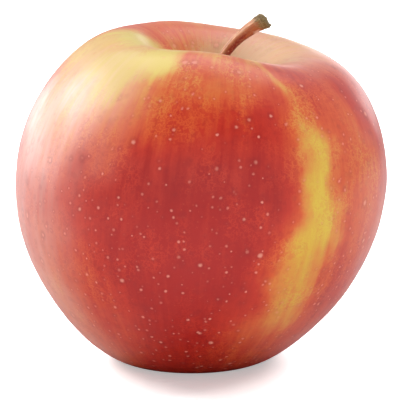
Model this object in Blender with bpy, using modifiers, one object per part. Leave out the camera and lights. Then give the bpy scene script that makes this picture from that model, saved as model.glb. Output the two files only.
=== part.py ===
"""A ripe two-coloured eating apple at its real size, standing on its eye end.

Metres, +Z up. The origin lies on the resting plane, under the middle of the fruit's box.
The fruit is one grown solid with a stalk hollow on top and an eye basin underneath. The
woody stem stands in a socket in the hollow's floor, and the dried sepals and stamens of
the flower stand in the basin. Neighbouring pieces keep SEAT_GAP between them.
"""

import math

import bmesh
import bpy
from mathutils import Matrix, Vector

MM = 0.001
SEAT_GAP = 0.3 * MM

# Fruit: its turned outline
FRUIT_WIDTH = 80.0 * MM
FRUIT_HEIGHT = 68.3 * MM
CHEEK_HEIGHT = 39.1 * MM
CROWN_RADIUS = 20.0 * MM
RING_RADIUS = 12.8 * MM
FLAT_WIDTH = 3.0 * MM
CAVITY_DEPTH = 13.0 * MM
SOCKET_DEPTH = 2.4 * MM
BASIN_DEPTH = 7.0 * MM
EYE_RADIUS = 2.3 * MM
EYE_DEPTH = 2.2 * MM

# Fruit: fullness of each bend of the outline, as a share of the span that it crosses
CROWN_FULLNESS = 0.52
SHOULDER_FULLNESS = 0.55
BELLY_FULLNESS = 0.555
BASE_FULLNESS = 0.24
CAVITY_RIM_FLARE = 0.55
CAVITY_FLOOR_FLARE = 0.18
BASIN_RIM_FLARE = 0.35
BASIN_FLOOR_FLARE = 0.5

# Fruit: how it grew out of true
LEAN_ANGLE = math.radians(0.9)
LEAN_START = 0.25
BEND_ANGLE = math.radians(3.4)
CROWN_LOBES = (
    (-178.0, 1.8 * MM),
    (-97.0, 2.2 * MM),
    (-33.0, -0.6 * MM),
    (58.0, 0.95 * MM),
    (119.0, 2.1 * MM),
)
LOBE_SHARPNESS = 5.0
LOBE_REACH = 0.55
LOBE_START = 0.45

# Stem
STEM_LENGTH = 25.6 * MM
STEM_FOOT_RADIUS = 1.2 * MM
STEM_WAIST_RADIUS = 0.95 * MM
STEM_TIP_RADIUS = 1.75 * MM
STEM_WAIST_SHARE = 0.5
STEM_FOOT_ANGLE = math.radians(-6.0)
STEM_TIP_ANGLE = math.radians(60.0)
STEM_POINTS = 15

# Dried flower parts in the eye basin
SEPAL_COUNT = 5
SEPAL_LENGTH = 5.8 * MM
SEPAL_WIDTH = 3.0 * MM
SEPAL_THICKNESS = 0.35 * MM
SEPAL_FOOT_ANGLE = math.radians(-4.0)
SEPAL_TIP_ANGLE = math.radians(108.0)
SEPAL_ROWS = 6
SEPAL_SAMPLES = 24
SEPAL_POINT = 0.12
SEPAL_CUP = 0.25
SEPAL_CURL = 1.6
STAMEN_CLEARANCE = 0.8 * MM
STAMEN_HEIGHT = 4.2 * MM
STAMEN_FLUTES = 10
FLUTE_DEPTH = 0.06

# Fineness of the meshes
TURN_STEPS = 60
CAVITY_SEGMENTS = 9
CROWN_SEGMENTS = 11
BELLY_SEGMENTS = 12
BASIN_SEGMENTS = 6
STEPS_PER_FLUTE = 4
MERGE_DISTANCE = 0.00001
SHARP_ANGLE = math.radians(50.0)


def clear_scene():
    """Remove every object that is there at the start."""
    for old in list(bpy.data.objects):
        bpy.data.objects.remove(old, do_unlink=True)


def make_collection(name):
    """Make a collection and link it to the scene."""
    collection = bpy.data.collections.new(name)
    bpy.context.scene.collection.children.link(collection)
    return collection


def make_material(name, colour, roughness):
    """Make a plain, non-metallic Principled material."""
    material = bpy.data.materials.new(name)
    material.use_nodes = True
    shader = material.node_tree.nodes["Principled BSDF"]
    shader.inputs["Base Color"].default_value = (*colour, 1.0)
    shader.inputs["Roughness"].default_value = roughness
    shader.inputs["Metallic"].default_value = 0.0
    material.diffuse_color = (*colour, 1.0)
    return material


def smooth_step(value):
    """Ease from 0 to 1 as value goes from 0 to 1."""
    value = min(max(value, 0.0), 1.0)
    return value * value * (3.0 - 2.0 * value)


def bend_points(start, start_handle, end_handle, end, count):
    """Points of a cubic bend from start to end, without its first point."""
    points = []
    for step in range(1, count + 1):
        t = step / count
        s = 1.0 - t
        ends = start * s**3 + end * t**3
        points.append(ends + start_handle * 3 * s * s * t + end_handle * 3 * s * t * t)
    return points


def socket_radius():
    """Radius of the stem's socket: the stem's foot with its clearance."""
    return STEM_FOOT_RADIUS + SEAT_GAP


def cavity_floor():
    """Height of the stalk hollow's floor, before the fruit leans."""
    return FRUIT_HEIGHT - CAVITY_DEPTH


def fruit_outline():
    """Half section of the fruit, from the socket's floor over the crown to the eye's floor."""
    socket_floor = cavity_floor() - SOCKET_DEPTH
    hollow = Vector((socket_radius(), cavity_floor()))
    crown = Vector((CROWN_RADIUS, FRUIT_HEIGHT))
    cheek = Vector((FRUIT_WIDTH / 2, CHEEK_HEIGHT))
    foot_outer = Vector((RING_RADIUS + FLAT_WIDTH / 2, 0.0))
    foot_inner = Vector((RING_RADIUS - FLAT_WIDTH / 2, 0.0))
    eye = Vector((EYE_RADIUS, BASIN_DEPTH))

    points = [Vector((0.0, socket_floor)), Vector((socket_radius(), socket_floor)), hollow]
    points += bend_points(
        hollow,
        hollow + Vector((CROWN_RADIUS * CAVITY_FLOOR_FLARE, 0.0)),
        crown - Vector((CROWN_RADIUS * CAVITY_RIM_FLARE, 0.0)),
        crown,
        CAVITY_SEGMENTS,
    )
    points += bend_points(
        crown,
        crown + Vector(((cheek.x - crown.x) * CROWN_FULLNESS, 0.0)),
        cheek + Vector((0.0, (crown.y - cheek.y) * SHOULDER_FULLNESS)),
        cheek,
        CROWN_SEGMENTS,
    )
    points += bend_points(
        cheek,
        cheek - Vector((0.0, cheek.y * BELLY_FULLNESS)),
        foot_outer + Vector(((cheek.x - foot_outer.x) * BASE_FULLNESS, 0.0)),
        foot_outer,
        BELLY_SEGMENTS,
    )
    points.append(foot_inner)
    points += bend_points(
        foot_inner,
        foot_inner - Vector(((foot_inner.x - eye.x) * BASIN_RIM_FLARE, 0.0)),
        eye + Vector(((foot_inner.x - eye.x) * BASIN_FLOOR_FLARE, 0.0)),
        eye,
        BASIN_SEGMENTS,
    )
    points.append(Vector((EYE_RADIUS, BASIN_DEPTH + EYE_DEPTH)))
    points.append(Vector((0.0, BASIN_DEPTH + EYE_DEPTH)))
    return points


def turn_outline(name, outline, steps):
    """Turn an outline about Z with a Screw modifier and give back the closed mesh."""
    profile = bpy.data.meshes.new(name + "_outline")
    corners = [(point.x, 0.0, point.y) for point in outline]
    edges = [(i, i + 1) for i in range(len(corners) - 1)]
    profile.from_pydata(corners, edges, [])
    turned = bpy.data.objects.new(name + "_turned", profile)
    bpy.context.scene.collection.objects.link(turned)
    screw = turned.modifiers.new("Turn", "SCREW")
    screw.steps = steps
    screw.render_steps = steps
    screw.use_merge_vertices = True
    screw.merge_threshold = MERGE_DISTANCE
    depsgraph = bpy.context.evaluated_depsgraph_get()
    mesh = bpy.data.meshes.new_from_object(turned.evaluated_get(depsgraph))
    mesh.name = name
    bpy.data.objects.remove(turned, do_unlink=True)
    return mesh


def lobe_rise(x, y, z):
    """How far the crown's lobes lift a point of the turned fruit."""
    azimuth = math.atan2(y, x)
    radius = math.hypot(x, y)
    rise = 0.0
    for lobe_azimuth, lobe_height in CROWN_LOBES:
        offset = azimuth - math.radians(lobe_azimuth)
        rise += lobe_height * math.exp(LOBE_SHARPNESS * (math.cos(offset) - 1.0))
    near_crown = math.exp(-(((radius - CROWN_RADIUS) / (LOBE_REACH * CROWN_RADIUS)) ** 2))
    return rise * near_crown * smooth_step((z / FRUIT_HEIGHT - LOBE_START) / (1.0 - LOBE_START))


def lean_over(point):
    """Turn a point towards +X by an angle that grows with its height."""
    share = point.z / FRUIT_HEIGHT
    angle = LEAN_ANGLE * smooth_step(share / LEAN_START) + BEND_ANGLE * share
    sine = math.sin(angle)
    cosine = math.cos(angle)
    return Vector((point.x * cosine + point.z * sine, point.y, point.z * cosine - point.x * sine))


def socket_shift(x, y, z):
    """How far the socket's wall moves along X, so that it follows the stem's slanting foot."""
    in_socket = math.hypot(x, y) < socket_radius() + SEAT_GAP / 10
    above_basin = z > BASIN_DEPTH + EYE_DEPTH + SEAT_GAP
    if in_socket and above_basin:
        return (z - cavity_floor()) * math.tan(STEM_FOOT_ANGLE)
    return 0.0


def grow_fruit(point):
    """Move a point of the turned fruit to its grown place."""
    x = point.x + socket_shift(*point)
    return lean_over(Vector((x, point.y, point.z + lobe_rise(*point))))


def box_middle(mesh):
    """Middle of a mesh's box in X and Y, at height 0."""
    xs = [vertex.co.x for vertex in mesh.vertices]
    ys = [vertex.co.y for vertex in mesh.vertices]
    return Vector(((min(xs) + max(xs)) / 2, (min(ys) + max(ys)) / 2, 0.0))


def add_piece(name, mesh, material, collection):
    """Make a smooth-shaded object of a mesh."""
    mesh.materials.clear()
    mesh.materials.append(material)
    mesh.shade_smooth()
    mesh.set_sharp_from_angle(angle=SHARP_ANGLE)
    piece = bpy.data.objects.new(name, mesh)
    collection.objects.link(piece)
    return piece


def add_fruit(collection, material):
    """Make the fruit and give back the middle that every piece is placed from."""
    mesh = turn_outline("fruit", fruit_outline(), TURN_STEPS)
    for vertex in mesh.vertices:
        vertex.co = grow_fruit(vertex.co)
    middle = box_middle(mesh)
    for vertex in mesh.vertices:
        vertex.co = vertex.co - middle
    add_piece("fruit", mesh, material, collection)
    return middle


def stem_radius(share):
    """Radius of the stem at a share of its length from the foot to the broken tip."""
    if share < STEM_WAIST_SHARE:
        narrowing = smooth_step(share / STEM_WAIST_SHARE)
        return STEM_FOOT_RADIUS + (STEM_WAIST_RADIUS - STEM_FOOT_RADIUS) * narrowing
    flare = (share - STEM_WAIST_SHARE) / (1.0 - STEM_WAIST_SHARE)
    return STEM_WAIST_RADIUS + (STEM_TIP_RADIUS - STEM_WAIST_RADIUS) * flare * flare


def stem_path():
    """Centre line of the stem: straight in its socket, then curving over towards +X."""
    cap_drop = STEM_FOOT_RADIUS * abs(math.sin(STEM_FOOT_ANGLE))
    foot_drop = SOCKET_DEPTH - SEAT_GAP - cap_drop
    position = Vector((-foot_drop * math.tan(STEM_FOOT_ANGLE), 0.0, cavity_floor() - foot_drop))
    step = STEM_LENGTH / (STEM_POINTS - 1)
    straight = SOCKET_DEPTH / STEM_LENGTH
    path = [position.copy()]
    for index in range(1, STEM_POINTS):
        share = ((index - 0.5) / (STEM_POINTS - 1) - straight) / (1.0 - straight)
        angle = STEM_FOOT_ANGLE + (STEM_TIP_ANGLE - STEM_FOOT_ANGLE) * max(share, 0.0)
        position += Vector((math.sin(angle), 0.0, math.cos(angle))) * step
        path.append(position.copy())
    return path


def add_stem(collection, material, middle):
    """Make the stem as a bevelled curve that thickens to its broken tip."""
    curve = bpy.data.curves.new("stem", "CURVE")
    curve.dimensions = "3D"
    curve.bevel_depth = STEM_FOOT_RADIUS
    curve.bevel_resolution = 3
    curve.use_fill_caps = True
    path = stem_path()
    spline = curve.splines.new("POLY")
    spline.points.add(len(path) - 1)
    for index, point in enumerate(path):
        spline.points[index].co = (*(lean_over(point) - middle), 1.0)
        spline.points[index].radius = stem_radius(index / (len(path) - 1)) / STEM_FOOT_RADIUS
    curve.materials.append(material)
    collection.objects.link(bpy.data.objects.new("stem", curve))


def sepal_row(share):
    """Distance from the axis, drop from the basin's floor and half width at a share of a sepal."""
    across = 0.0
    drop = 0.0
    for sample in range(SEPAL_SAMPLES):
        along = share * (sample + 0.5) / SEPAL_SAMPLES
        angle = SEPAL_FOOT_ANGLE + (SEPAL_TIP_ANGLE - SEPAL_FOOT_ANGLE) * along**SEPAL_CURL
        across += math.sin(angle) * SEPAL_LENGTH * share / SEPAL_SAMPLES
        drop += math.cos(angle) * SEPAL_LENGTH * share / SEPAL_SAMPLES
    foot_radius = EYE_RADIUS + SEPAL_THICKNESS + SEAT_GAP
    swelling = (0.82 + 0.5 * share) * (1.0 - share**2.2)
    half_width = SEPAL_WIDTH * (swelling / 2 + SEPAL_POINT * share)
    return foot_radius + across, SEPAL_THICKNESS / 2 + SEAT_GAP * 1.5 + drop, half_width


def add_sepal(name, azimuth, collection, material, middle):
    """Make one dried sepal as a curled, cupped sheet with a wall thickness."""
    builder = bmesh.new()
    rows = []
    for row in range(SEPAL_ROWS):
        distance, drop, half_width = sepal_row(row / (SEPAL_ROWS - 1))
        cup = half_width * SEPAL_CUP
        row_vertices = []
        for side in (-1.0, 0.0, 1.0):
            x = distance + cup * abs(side)
            y = half_width * side
            place = Vector((x, y, BASIN_DEPTH - drop))
            place.rotate(Matrix.Rotation(azimuth, 3, "Z"))
            row_vertices.append(builder.verts.new(lean_over(place) - middle))
        rows.append(row_vertices)
    for lower, upper in zip(rows, rows[1:]):
        for left in range(2):
            builder.faces.new((lower[left], lower[left + 1], upper[left + 1], upper[left]))
    mesh = bpy.data.meshes.new(name)
    builder.to_mesh(mesh)
    builder.free()
    sepal = add_piece(name, mesh, material, collection)
    wall = sepal.modifiers.new("Wall", "SOLIDIFY")
    wall.thickness = SEPAL_THICKNESS
    wall.offset = 0.0
    rounding = sepal.modifiers.new("Rounding", "SUBSURF")
    rounding.levels = 1
    rounding.render_levels = 1


def add_stamens(collection, material, middle):
    """Make the dried stamens as one fluted tuft that stands in the eye."""
    top = BASIN_DEPTH + EYE_DEPTH - SEAT_GAP
    radius = EYE_RADIUS - STAMEN_CLEARANCE
    swell = ((0.0, 0.0), (0.85, 0.0), (1.0, 0.3), (0.9, 0.65), (0.75, 0.92), (0.35, 1.0), (0.0, 0.9))
    outline = [Vector((radius * across, top - STAMEN_HEIGHT * down)) for across, down in swell]
    mesh = turn_outline("stamens", outline, STAMEN_FLUTES * STEPS_PER_FLUTE)
    for vertex in mesh.vertices:
        azimuth = math.atan2(vertex.co.y, vertex.co.x)
        flute = 1.0 - FLUTE_DEPTH + FLUTE_DEPTH * math.cos(STAMEN_FLUTES * azimuth)
        vertex.co = lean_over(Vector((vertex.co.x * flute, vertex.co.y * flute, vertex.co.z))) - middle
    add_piece("stamens", mesh, material, collection)


def main():
    """Build the apple."""
    clear_scene()
    apple = make_collection("apple")
    skin = make_material("apple_skin", (0.56, 0.07, 0.045), 0.35)
    wood = make_material("stem_wood", (0.25, 0.10, 0.045), 0.75)
    dried = make_material("dried_sepal", (0.12, 0.07, 0.035), 0.85)
    tuft = make_material("dried_stamen", (0.05, 0.03, 0.02), 0.9)

    middle = add_fruit(apple, skin)
    add_stem(apple, wood, middle)
    for index in range(SEPAL_COUNT):
        azimuth = 2.0 * math.pi * index / SEPAL_COUNT
        add_sepal(f"sepal_{index + 1}", azimuth, apple, dried, middle)
    add_stamens(apple, tuft, middle)


main()
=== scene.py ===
"""A ripe two-coloured eating apple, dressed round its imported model.

The fruit, its woody stem, the five dried sepals and the tuft of stamens are made again in
fine meshes, each in the place of its CAD node, and painted with node-built finishes.
Lengths are in metres, and the names of sizes match those of the part's own source.
"""

import logging
import math
from dataclasses import dataclass, field
from enum import Enum
from typing import Any, Sequence, Union

import bmesh
import bpy
from mathutils import Matrix, Vector, noise


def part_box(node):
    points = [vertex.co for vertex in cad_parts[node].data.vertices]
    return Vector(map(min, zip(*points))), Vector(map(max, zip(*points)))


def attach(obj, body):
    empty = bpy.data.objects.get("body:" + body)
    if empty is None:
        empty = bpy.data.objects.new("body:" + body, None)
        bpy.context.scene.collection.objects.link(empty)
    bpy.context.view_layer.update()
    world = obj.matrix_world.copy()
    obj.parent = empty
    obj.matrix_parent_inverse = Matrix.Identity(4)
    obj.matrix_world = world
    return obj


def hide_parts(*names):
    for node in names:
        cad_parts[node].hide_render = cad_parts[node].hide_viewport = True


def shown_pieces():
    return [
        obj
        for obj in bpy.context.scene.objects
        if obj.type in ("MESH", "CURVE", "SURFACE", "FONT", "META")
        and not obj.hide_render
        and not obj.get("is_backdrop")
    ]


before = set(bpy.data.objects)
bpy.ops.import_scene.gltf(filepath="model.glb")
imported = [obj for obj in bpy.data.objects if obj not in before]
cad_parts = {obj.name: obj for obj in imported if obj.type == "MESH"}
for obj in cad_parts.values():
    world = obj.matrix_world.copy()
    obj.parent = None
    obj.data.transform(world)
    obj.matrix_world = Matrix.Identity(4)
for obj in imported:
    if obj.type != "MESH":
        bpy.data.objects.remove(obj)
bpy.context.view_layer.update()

MM = 0.001
BODY = "root"
LOG = logging.getLogger("apple")


# --------------------------------------------------------------------------------------
# Node trees
# --------------------------------------------------------------------------------------


class TreeKind(Enum):
    """The kinds of node tree that are built here."""

    SHADER = "ShaderNodeTree"
    GEOMETRY = "GeometryNodeTree"


class Socket(Enum):
    """The kinds of socket that a group shows."""

    NUMBER = "NodeSocketFloat"
    COUNT = "NodeSocketInt"
    VECTOR = "NodeSocketVector"
    COLOUR = "NodeSocketColor"
    SHAPE = "NodeSocketGeometry"
    MATERIAL = "NodeSocketMaterial"


@dataclass(frozen=True)
class Term:
    """A value that a node tree works out, so that a sum of nodes reads as a sum."""

    graph: "Graph"
    socket: bpy.types.NodeSocket

    def __add__(self, other: "Value") -> "Term":
        """Add."""
        return self.graph.math("ADD", self, other)

    def __radd__(self, other: "Value") -> "Term":
        """Add to a plain number."""
        return self.graph.math("ADD", other, self)

    def __sub__(self, other: "Value") -> "Term":
        """Subtract."""
        return self.graph.math("SUBTRACT", self, other)

    def __rsub__(self, other: "Value") -> "Term":
        """Subtract from a plain number."""
        return self.graph.math("SUBTRACT", other, self)

    def __mul__(self, other: "Value") -> "Term":
        """Multiply."""
        return self.graph.math("MULTIPLY", self, other)

    def __rmul__(self, other: "Value") -> "Term":
        """Multiply a plain number."""
        return self.graph.math("MULTIPLY", other, self)

    def __truediv__(self, other: "Value") -> "Term":
        """Divide."""
        return self.graph.math("DIVIDE", self, other)

    def __rtruediv__(self, other: "Value") -> "Term":
        """Divide a plain number."""
        return self.graph.math("DIVIDE", other, self)

    def __neg__(self) -> "Term":
        """Turn the sign."""
        return self.graph.math("MULTIPLY", self, -1.0)


Value = Union[float, Sequence[float], Term]
Colour = tuple[float, ...]
Drawn = tuple[tuple[float, float], ...]


@dataclass
class Graph:
    """A node tree under construction, with short ways to add and join its nodes."""

    tree: bpy.types.NodeTree
    given: dict[str, Term] = field(default_factory=dict)

    @classmethod
    def group(
        cls,
        name: str,
        kind: TreeKind,
        inputs: dict[str, tuple[Socket, Any]],
        outputs: dict[str, Socket],
    ) -> "Graph":
        """Start a group with named sockets.

        Args:
            name: The group's name.
            kind: Whether it makes shapes or colours.
            inputs: For each named input, its kind and the value it has when nothing is set.
            outputs: For each named output, its kind.

        Returns:
            The graph, whose `given` holds the inputs by name.
        """
        tree = bpy.data.node_groups.new(name, kind.value)
        for label, (socket, start) in inputs.items():
            made = tree.interface.new_socket(name=label, in_out="INPUT", socket_type=socket.value)
            if start is not None:
                made.default_value = start
        for label, socket in outputs.items():
            tree.interface.new_socket(name=label, in_out="OUTPUT", socket_type=socket.value)
        graph = cls(tree)
        entry = tree.nodes.new("NodeGroupInput")
        graph.given = {label: Term(graph, entry.outputs[label]) for label in inputs}
        return graph

    @classmethod
    def material(cls, name: str) -> tuple["Graph", bpy.types.Material]:
        """Start a material's own tree.

        Args:
            name: The material's name.

        Returns:
            The empty graph and its material.
        """
        material = bpy.data.materials.new(name)
        material.use_nodes = True
        material.node_tree.nodes.clear()
        return cls(material.node_tree), material

    def give(self, outputs: dict[str, Term]) -> None:
        """Send values to the group's named outputs."""
        exit_node = self.tree.nodes.new("NodeGroupOutput")
        for label, value in outputs.items():
            self.feed(exit_node.inputs[label], value)

    def feed(self, socket: bpy.types.NodeSocket, value: Any) -> None:
        """Join a term to a socket, or set a plain value on it."""
        if isinstance(value, Term):
            self.tree.links.new(value.socket, socket)
        else:
            socket.default_value = value

    def node(self, kind: str, feeds: dict[Any, Any], **settings: Any) -> bpy.types.Node:
        """Add a node.

        Args:
            kind: Blender's name for the node's type.
            feeds: A term or plain value for each input, by its name or number.
            **settings: The node's own options.

        Returns:
            The node.
        """
        made = self.tree.nodes.new(kind)
        for label, setting in settings.items():
            setattr(made, label, setting)
        for label, value in feeds.items():
            self.feed(made.inputs[label], value)
        return made

    def out(self, kind: str, output: Any, feeds: dict[Any, Any], **settings: Any) -> Term:
        """Add a node and give back one of its outputs as a term."""
        return Term(self, self.node(kind, feeds, **settings).outputs[output])

    def place_group(self, tree: bpy.types.NodeTree, feeds: dict[str, Any]) -> dict[str, Term]:
        """Place a group in this tree.

        Args:
            tree: The group.
            feeds: A term or plain value for each named input that isn't left as it starts.

        Returns:
            The group's outputs by name.
        """
        kind = "ShaderNodeGroup" if tree.bl_idname == TreeKind.SHADER.value else "GeometryNodeGroup"
        made = self.node(kind, feeds, node_tree=tree)
        return {output.name: Term(self, output) for output in made.outputs if output.name}

    def math(self, operation: str, *terms: Value, clamp: bool = False) -> Term:
        """Add a Math node on up to three values."""
        feeds = dict(enumerate(terms))
        return self.out("ShaderNodeMath", 0, feeds, operation=operation, use_clamp=clamp)

    def ease(self, value: Value, low: Value, high: Value, kind: str = "SMOOTHSTEP") -> Term:
        """Rise from 0 to 1 as value goes from low to high."""
        feeds = {"Value": value, "From Min": low, "From Max": high}
        return self.out("ShaderNodeMapRange", "Result", feeds, interpolation_type=kind)

    def between(self, share: Value, low: Value, high: Value) -> Term:
        """Go from low to high as share goes from 0 to 1."""
        feeds = {"Value": share, "To Min": low, "To Max": high}
        return self.out("ShaderNodeMapRange", "Result", feeds)

    def vector(self, x: Value, y: Value, z: Value) -> Term:
        """Join three numbers to a vector."""
        return self.out("ShaderNodeCombineXYZ", 0, {0: x, 1: y, 2: z})

    def parts(self, vector: Term) -> tuple[Term, Term, Term]:
        """Take a vector apart."""
        made = self.node("ShaderNodeSeparateXYZ", {0: vector})
        return tuple(Term(self, output) for output in made.outputs)

    def scaled(self, vector: Term, factor: Value) -> Term:
        """Scale a vector."""
        feeds = {0: vector, "Scale": factor}
        return self.out("ShaderNodeVectorMath", 0, feeds, operation="SCALE")

    def moved(self, vector: Term, offset: Value) -> Term:
        """Add an offset to a vector."""
        return self.out("ShaderNodeVectorMath", 0, {0: vector, 1: offset}, operation="ADD")

    def noise(self, place: Term, scale: Value, detail: float = 2.0, roughness: float = 0.5) -> Term:
        """Cloudy noise about 0.5."""
        feeds = {"Vector": place, "Scale": scale, "Detail": detail, "Roughness": roughness}
        return self.out("ShaderNodeTexNoise", 0, feeds)

    def curve(self, value: Term, points: Drawn, reach: float, top: float) -> Term:
        """Read a drawn curve.

        Args:
            value: Where the curve is read, from 0 to reach.
            points: The points that the curve goes through.
            reach: The curve's full extent.
            top: The largest height that it can have.

        Returns:
            The curve's height there.
        """
        made = self.node("ShaderNodeFloatCurve", {"Value": value / reach})
        line = made.mapping.curves[0]
        for _ in range(len(points) - 2):
            line.points.new(0.5, 0.5)
        for point, (x, y) in zip(line.points, points):
            point.location = (x / reach, y / top)
        made.mapping.update()
        return Term(self, made.outputs[0]) * top

    def ramp(self, value: Term, stops: Sequence[tuple[float, Colour]]) -> Term:
        """Turn a value from 0 to 1 into a colour.

        Args:
            value: The value.
            stops: Places along the ramp with their colours, in order.

        Returns:
            The colour.
        """
        made = self.node("ShaderNodeValToRGB", {"Fac": value})
        elements = made.color_ramp.elements
        while len(elements) < len(stops):
            elements.new(0.5)
        for element, (position, colour) in zip(elements, stops):
            element.position = position
            element.color = colour
        return Term(self, made.outputs["Color"])

    def lay(self, amount: Value, under: Value, top: Value) -> Term:
        """Lay one colour on another by an amount from 0 to 1."""
        feeds = {"Factor": amount, 6: under, 7: top}
        return self.out("ShaderNodeMix", 2, feeds, data_type="RGBA")

    def object_place(self) -> Term:
        """Place on the piece in millimetres, from its Object coordinates."""
        return self.scaled(self.out("ShaderNodeTexCoord", "Object", {}), 1.0 / MM)

    def attribute(self, name: str, output: str = "Fac") -> Term:
        """Read one of the mesh's own attributes."""
        return self.out("ShaderNodeAttribute", output, {}, attribute_name=name)

    def bump(self, height: Term, strength: float, distance: float) -> Term:
        """Turn a height into a normal."""
        feeds = {"Height": height, "Strength": strength, "Distance": distance}
        return self.out("ShaderNodeBump", "Normal", feeds)

    def finish_surface(self, feeds: dict[str, Any]) -> None:
        """Close a material with its Principled shader."""
        shader = self.node("ShaderNodeBsdfPrincipled", feeds)
        exit_node = self.tree.nodes.new("ShaderNodeOutputMaterial")
        self.tree.links.new(shader.outputs[0], exit_node.inputs["Surface"])


def paint(red: int, green: int, blue: int) -> Colour:
    """Turn a colour as it is mixed on a palette, 0 to 255, into Blender's linear one."""

    def linear(level: float) -> float:
        """Undo the screen's curve."""
        return level / 12.92 if level <= 0.04045 else ((level + 0.055) / 1.055) ** 2.4

    return (*(linear(level / 255.0) for level in (red, green, blue)), 1.0)


def smooth_step(value: float) -> float:
    """Ease from 0 to 1 as value goes from 0 to 1."""
    value = min(max(value, 0.0), 1.0)
    return value * value * (3.0 - 2.0 * value)


# --------------------------------------------------------------------------------------
# Effects that several finishes share
# --------------------------------------------------------------------------------------


@dataclass
class SharedEffects:
    """Shader groups that are built once and placed in each material with its own values."""

    grain: bpy.types.NodeTree = field(init=False)
    speckle: bpy.types.NodeTree = field(init=False)
    dust: bpy.types.NodeTree = field(init=False)

    def __post_init__(self) -> None:
        """Build the three groups."""
        self.grain = self._build_grain()
        self.speckle = self._build_speckle()
        self.dust = self._build_dust()

    def grained(
        self, graph: Graph, place: Term, coarse: float, fine: float, share: float = 0.5
    ) -> dict[str, Term]:
        """Place the grain in a material.

        Args:
            graph: The material's graph.
            place: Place on the piece.
            coarse: How many coarse grains there are to a unit of place.
            fine: How many fine grains there are to a unit of place.
            share: How much of the grain is fine.

        Returns:
            Its "Value" about 0 and its "Height" from 0 to 1.
        """
        sizes = {"Place": place, "Coarse": coarse, "Fine": fine, "Fine Share": share}
        return graph.place_group(self.grain, sizes)

    def speckled(
        self, graph: Graph, place: Term, spacing: float, radius: Value, share: Value
    ) -> dict[str, Term]:
        """Place scattered dots in a material.

        Args:
            graph: The material's graph.
            place: Place on the piece in millimetres.
            spacing: About how far the dots stand apart.
            radius: The largest dot's radius.
            share: How many of the places hold a dot, 0 to 1.

        Returns:
            The masks "Dot" and "Halo", and a "Tone" drawn for each dot.
        """
        sizes = {"Place": place, "Spacing": spacing, "Radius": radius, "Share": share}
        return graph.place_group(self.speckle, sizes)

    def dusted(
        self, graph: Graph, colour: Term, dust: Colour, place: Term, size: float, amount: float
    ) -> Term:
        """Lay dust on a material's colour.

        Args:
            graph: The material's graph.
            colour: The colour under it.
            dust: The dust's own colour.
            place: Place on the piece in millimetres.
            size: How wide its clouds are.
            amount: How thick it lies at most, 0 to 1.

        Returns:
            The colour with the dust.
        """
        return graph.place_group(self.dust, {
            "Colour": colour, "Dust Colour": dust, "Place": place, "Size": size, "Amount": amount,
        })["Colour"]

    def _build_grain(self) -> bpy.types.NodeTree:
        """Two sizes of cloudy grain, as a value about 0 and a height.

        Returns:
            The group.
        """
        graph = Graph.group(
            "Grain",
            TreeKind.SHADER,
            {
                "Place": (Socket.VECTOR, None),
                "Coarse": (Socket.NUMBER, 0.2),
                "Fine": (Socket.NUMBER, 1.5),
                "Fine Share": (Socket.NUMBER, 0.4),
            },
            {"Value": Socket.NUMBER, "Height": Socket.NUMBER},
        )
        coarse = graph.noise(graph.given["Place"], graph.given["Coarse"], 3.0)
        fine = graph.noise(graph.given["Place"], graph.given["Fine"], 2.0, 0.6)
        both = graph.between(graph.given["Fine Share"], coarse, fine)
        graph.give({"Value": (both - 0.5) * 2.0, "Height": both})
        return graph.tree

    def _build_speckle(self) -> bpy.types.NodeTree:
        """Round dots scattered over a surface, each with a soft edge and a halo.

        Returns:
            The group.
        """
        graph = Graph.group(
            "Speckle",
            TreeKind.SHADER,
            {
                "Place": (Socket.VECTOR, None),
                "Spacing": (Socket.NUMBER, 3.0),
                "Radius": (Socket.NUMBER, 0.3),
                "Share": (Socket.NUMBER, 0.7),
            },
            {"Dot": Socket.NUMBER, "Halo": Socket.NUMBER, "Tone": Socket.NUMBER},
        )
        given = graph.given
        cells = graph.node(
            "ShaderNodeTexVoronoi",
            {"Vector": given["Place"], "Scale": 1.0 / given["Spacing"], "Randomness": 1.0},
        )
        distance = Term(graph, cells.outputs["Distance"]) * given["Spacing"]
        chance, size, tone = graph.parts(Term(graph, cells.outputs["Color"]))
        present = graph.math("LESS_THAN", chance, given["Share"])
        radius = given["Radius"] * graph.between(size, 0.5, 1.0)
        dot = 1.0 - graph.ease(distance, radius * 0.3, radius * 1.1)
        halo = (1.0 - graph.ease(distance, radius, radius * 2.6)) - dot
        graph.give({
            "Dot": dot * present,
            "Halo": graph.math("MAXIMUM", halo, 0.0) * present,
            "Tone": tone,
        })
        return graph.tree

    def _build_dust(self) -> bpy.types.NodeTree:
        """Pale dust that lies unevenly on a colour.

        Returns:
            The group.
        """
        graph = Graph.group(
            "Dust",
            TreeKind.SHADER,
            {
                "Colour": (Socket.COLOUR, (0.2, 0.1, 0.05, 1.0)),
                "Dust Colour": (Socket.COLOUR, (0.5, 0.42, 0.32, 1.0)),
                "Place": (Socket.VECTOR, None),
                "Size": (Socket.NUMBER, 1.0),
                "Amount": (Socket.NUMBER, 0.3),
            },
            {"Colour": Socket.COLOUR},
        )
        given = graph.given
        cloud = graph.noise(given["Place"], 1.0 / given["Size"], 4.0, 0.65)
        mask = graph.ease(cloud, 0.45, 0.75) * given["Amount"]
        graph.give({"Colour": graph.lay(mask, given["Colour"], given["Dust Colour"])})
        return graph.tree


# --------------------------------------------------------------------------------------
# Finishes
# --------------------------------------------------------------------------------------


@dataclass(frozen=True)
class Patch:
    """An area of skin with a soft edge, redder or paler than its neighbours, or bloomed; a few paint
    highlight and shade into the skin.
    """

    name: str
    azimuth: float
    distance: float
    half_turn: float
    half_length: float
    strength: float
    softness: float = 0.75


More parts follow.
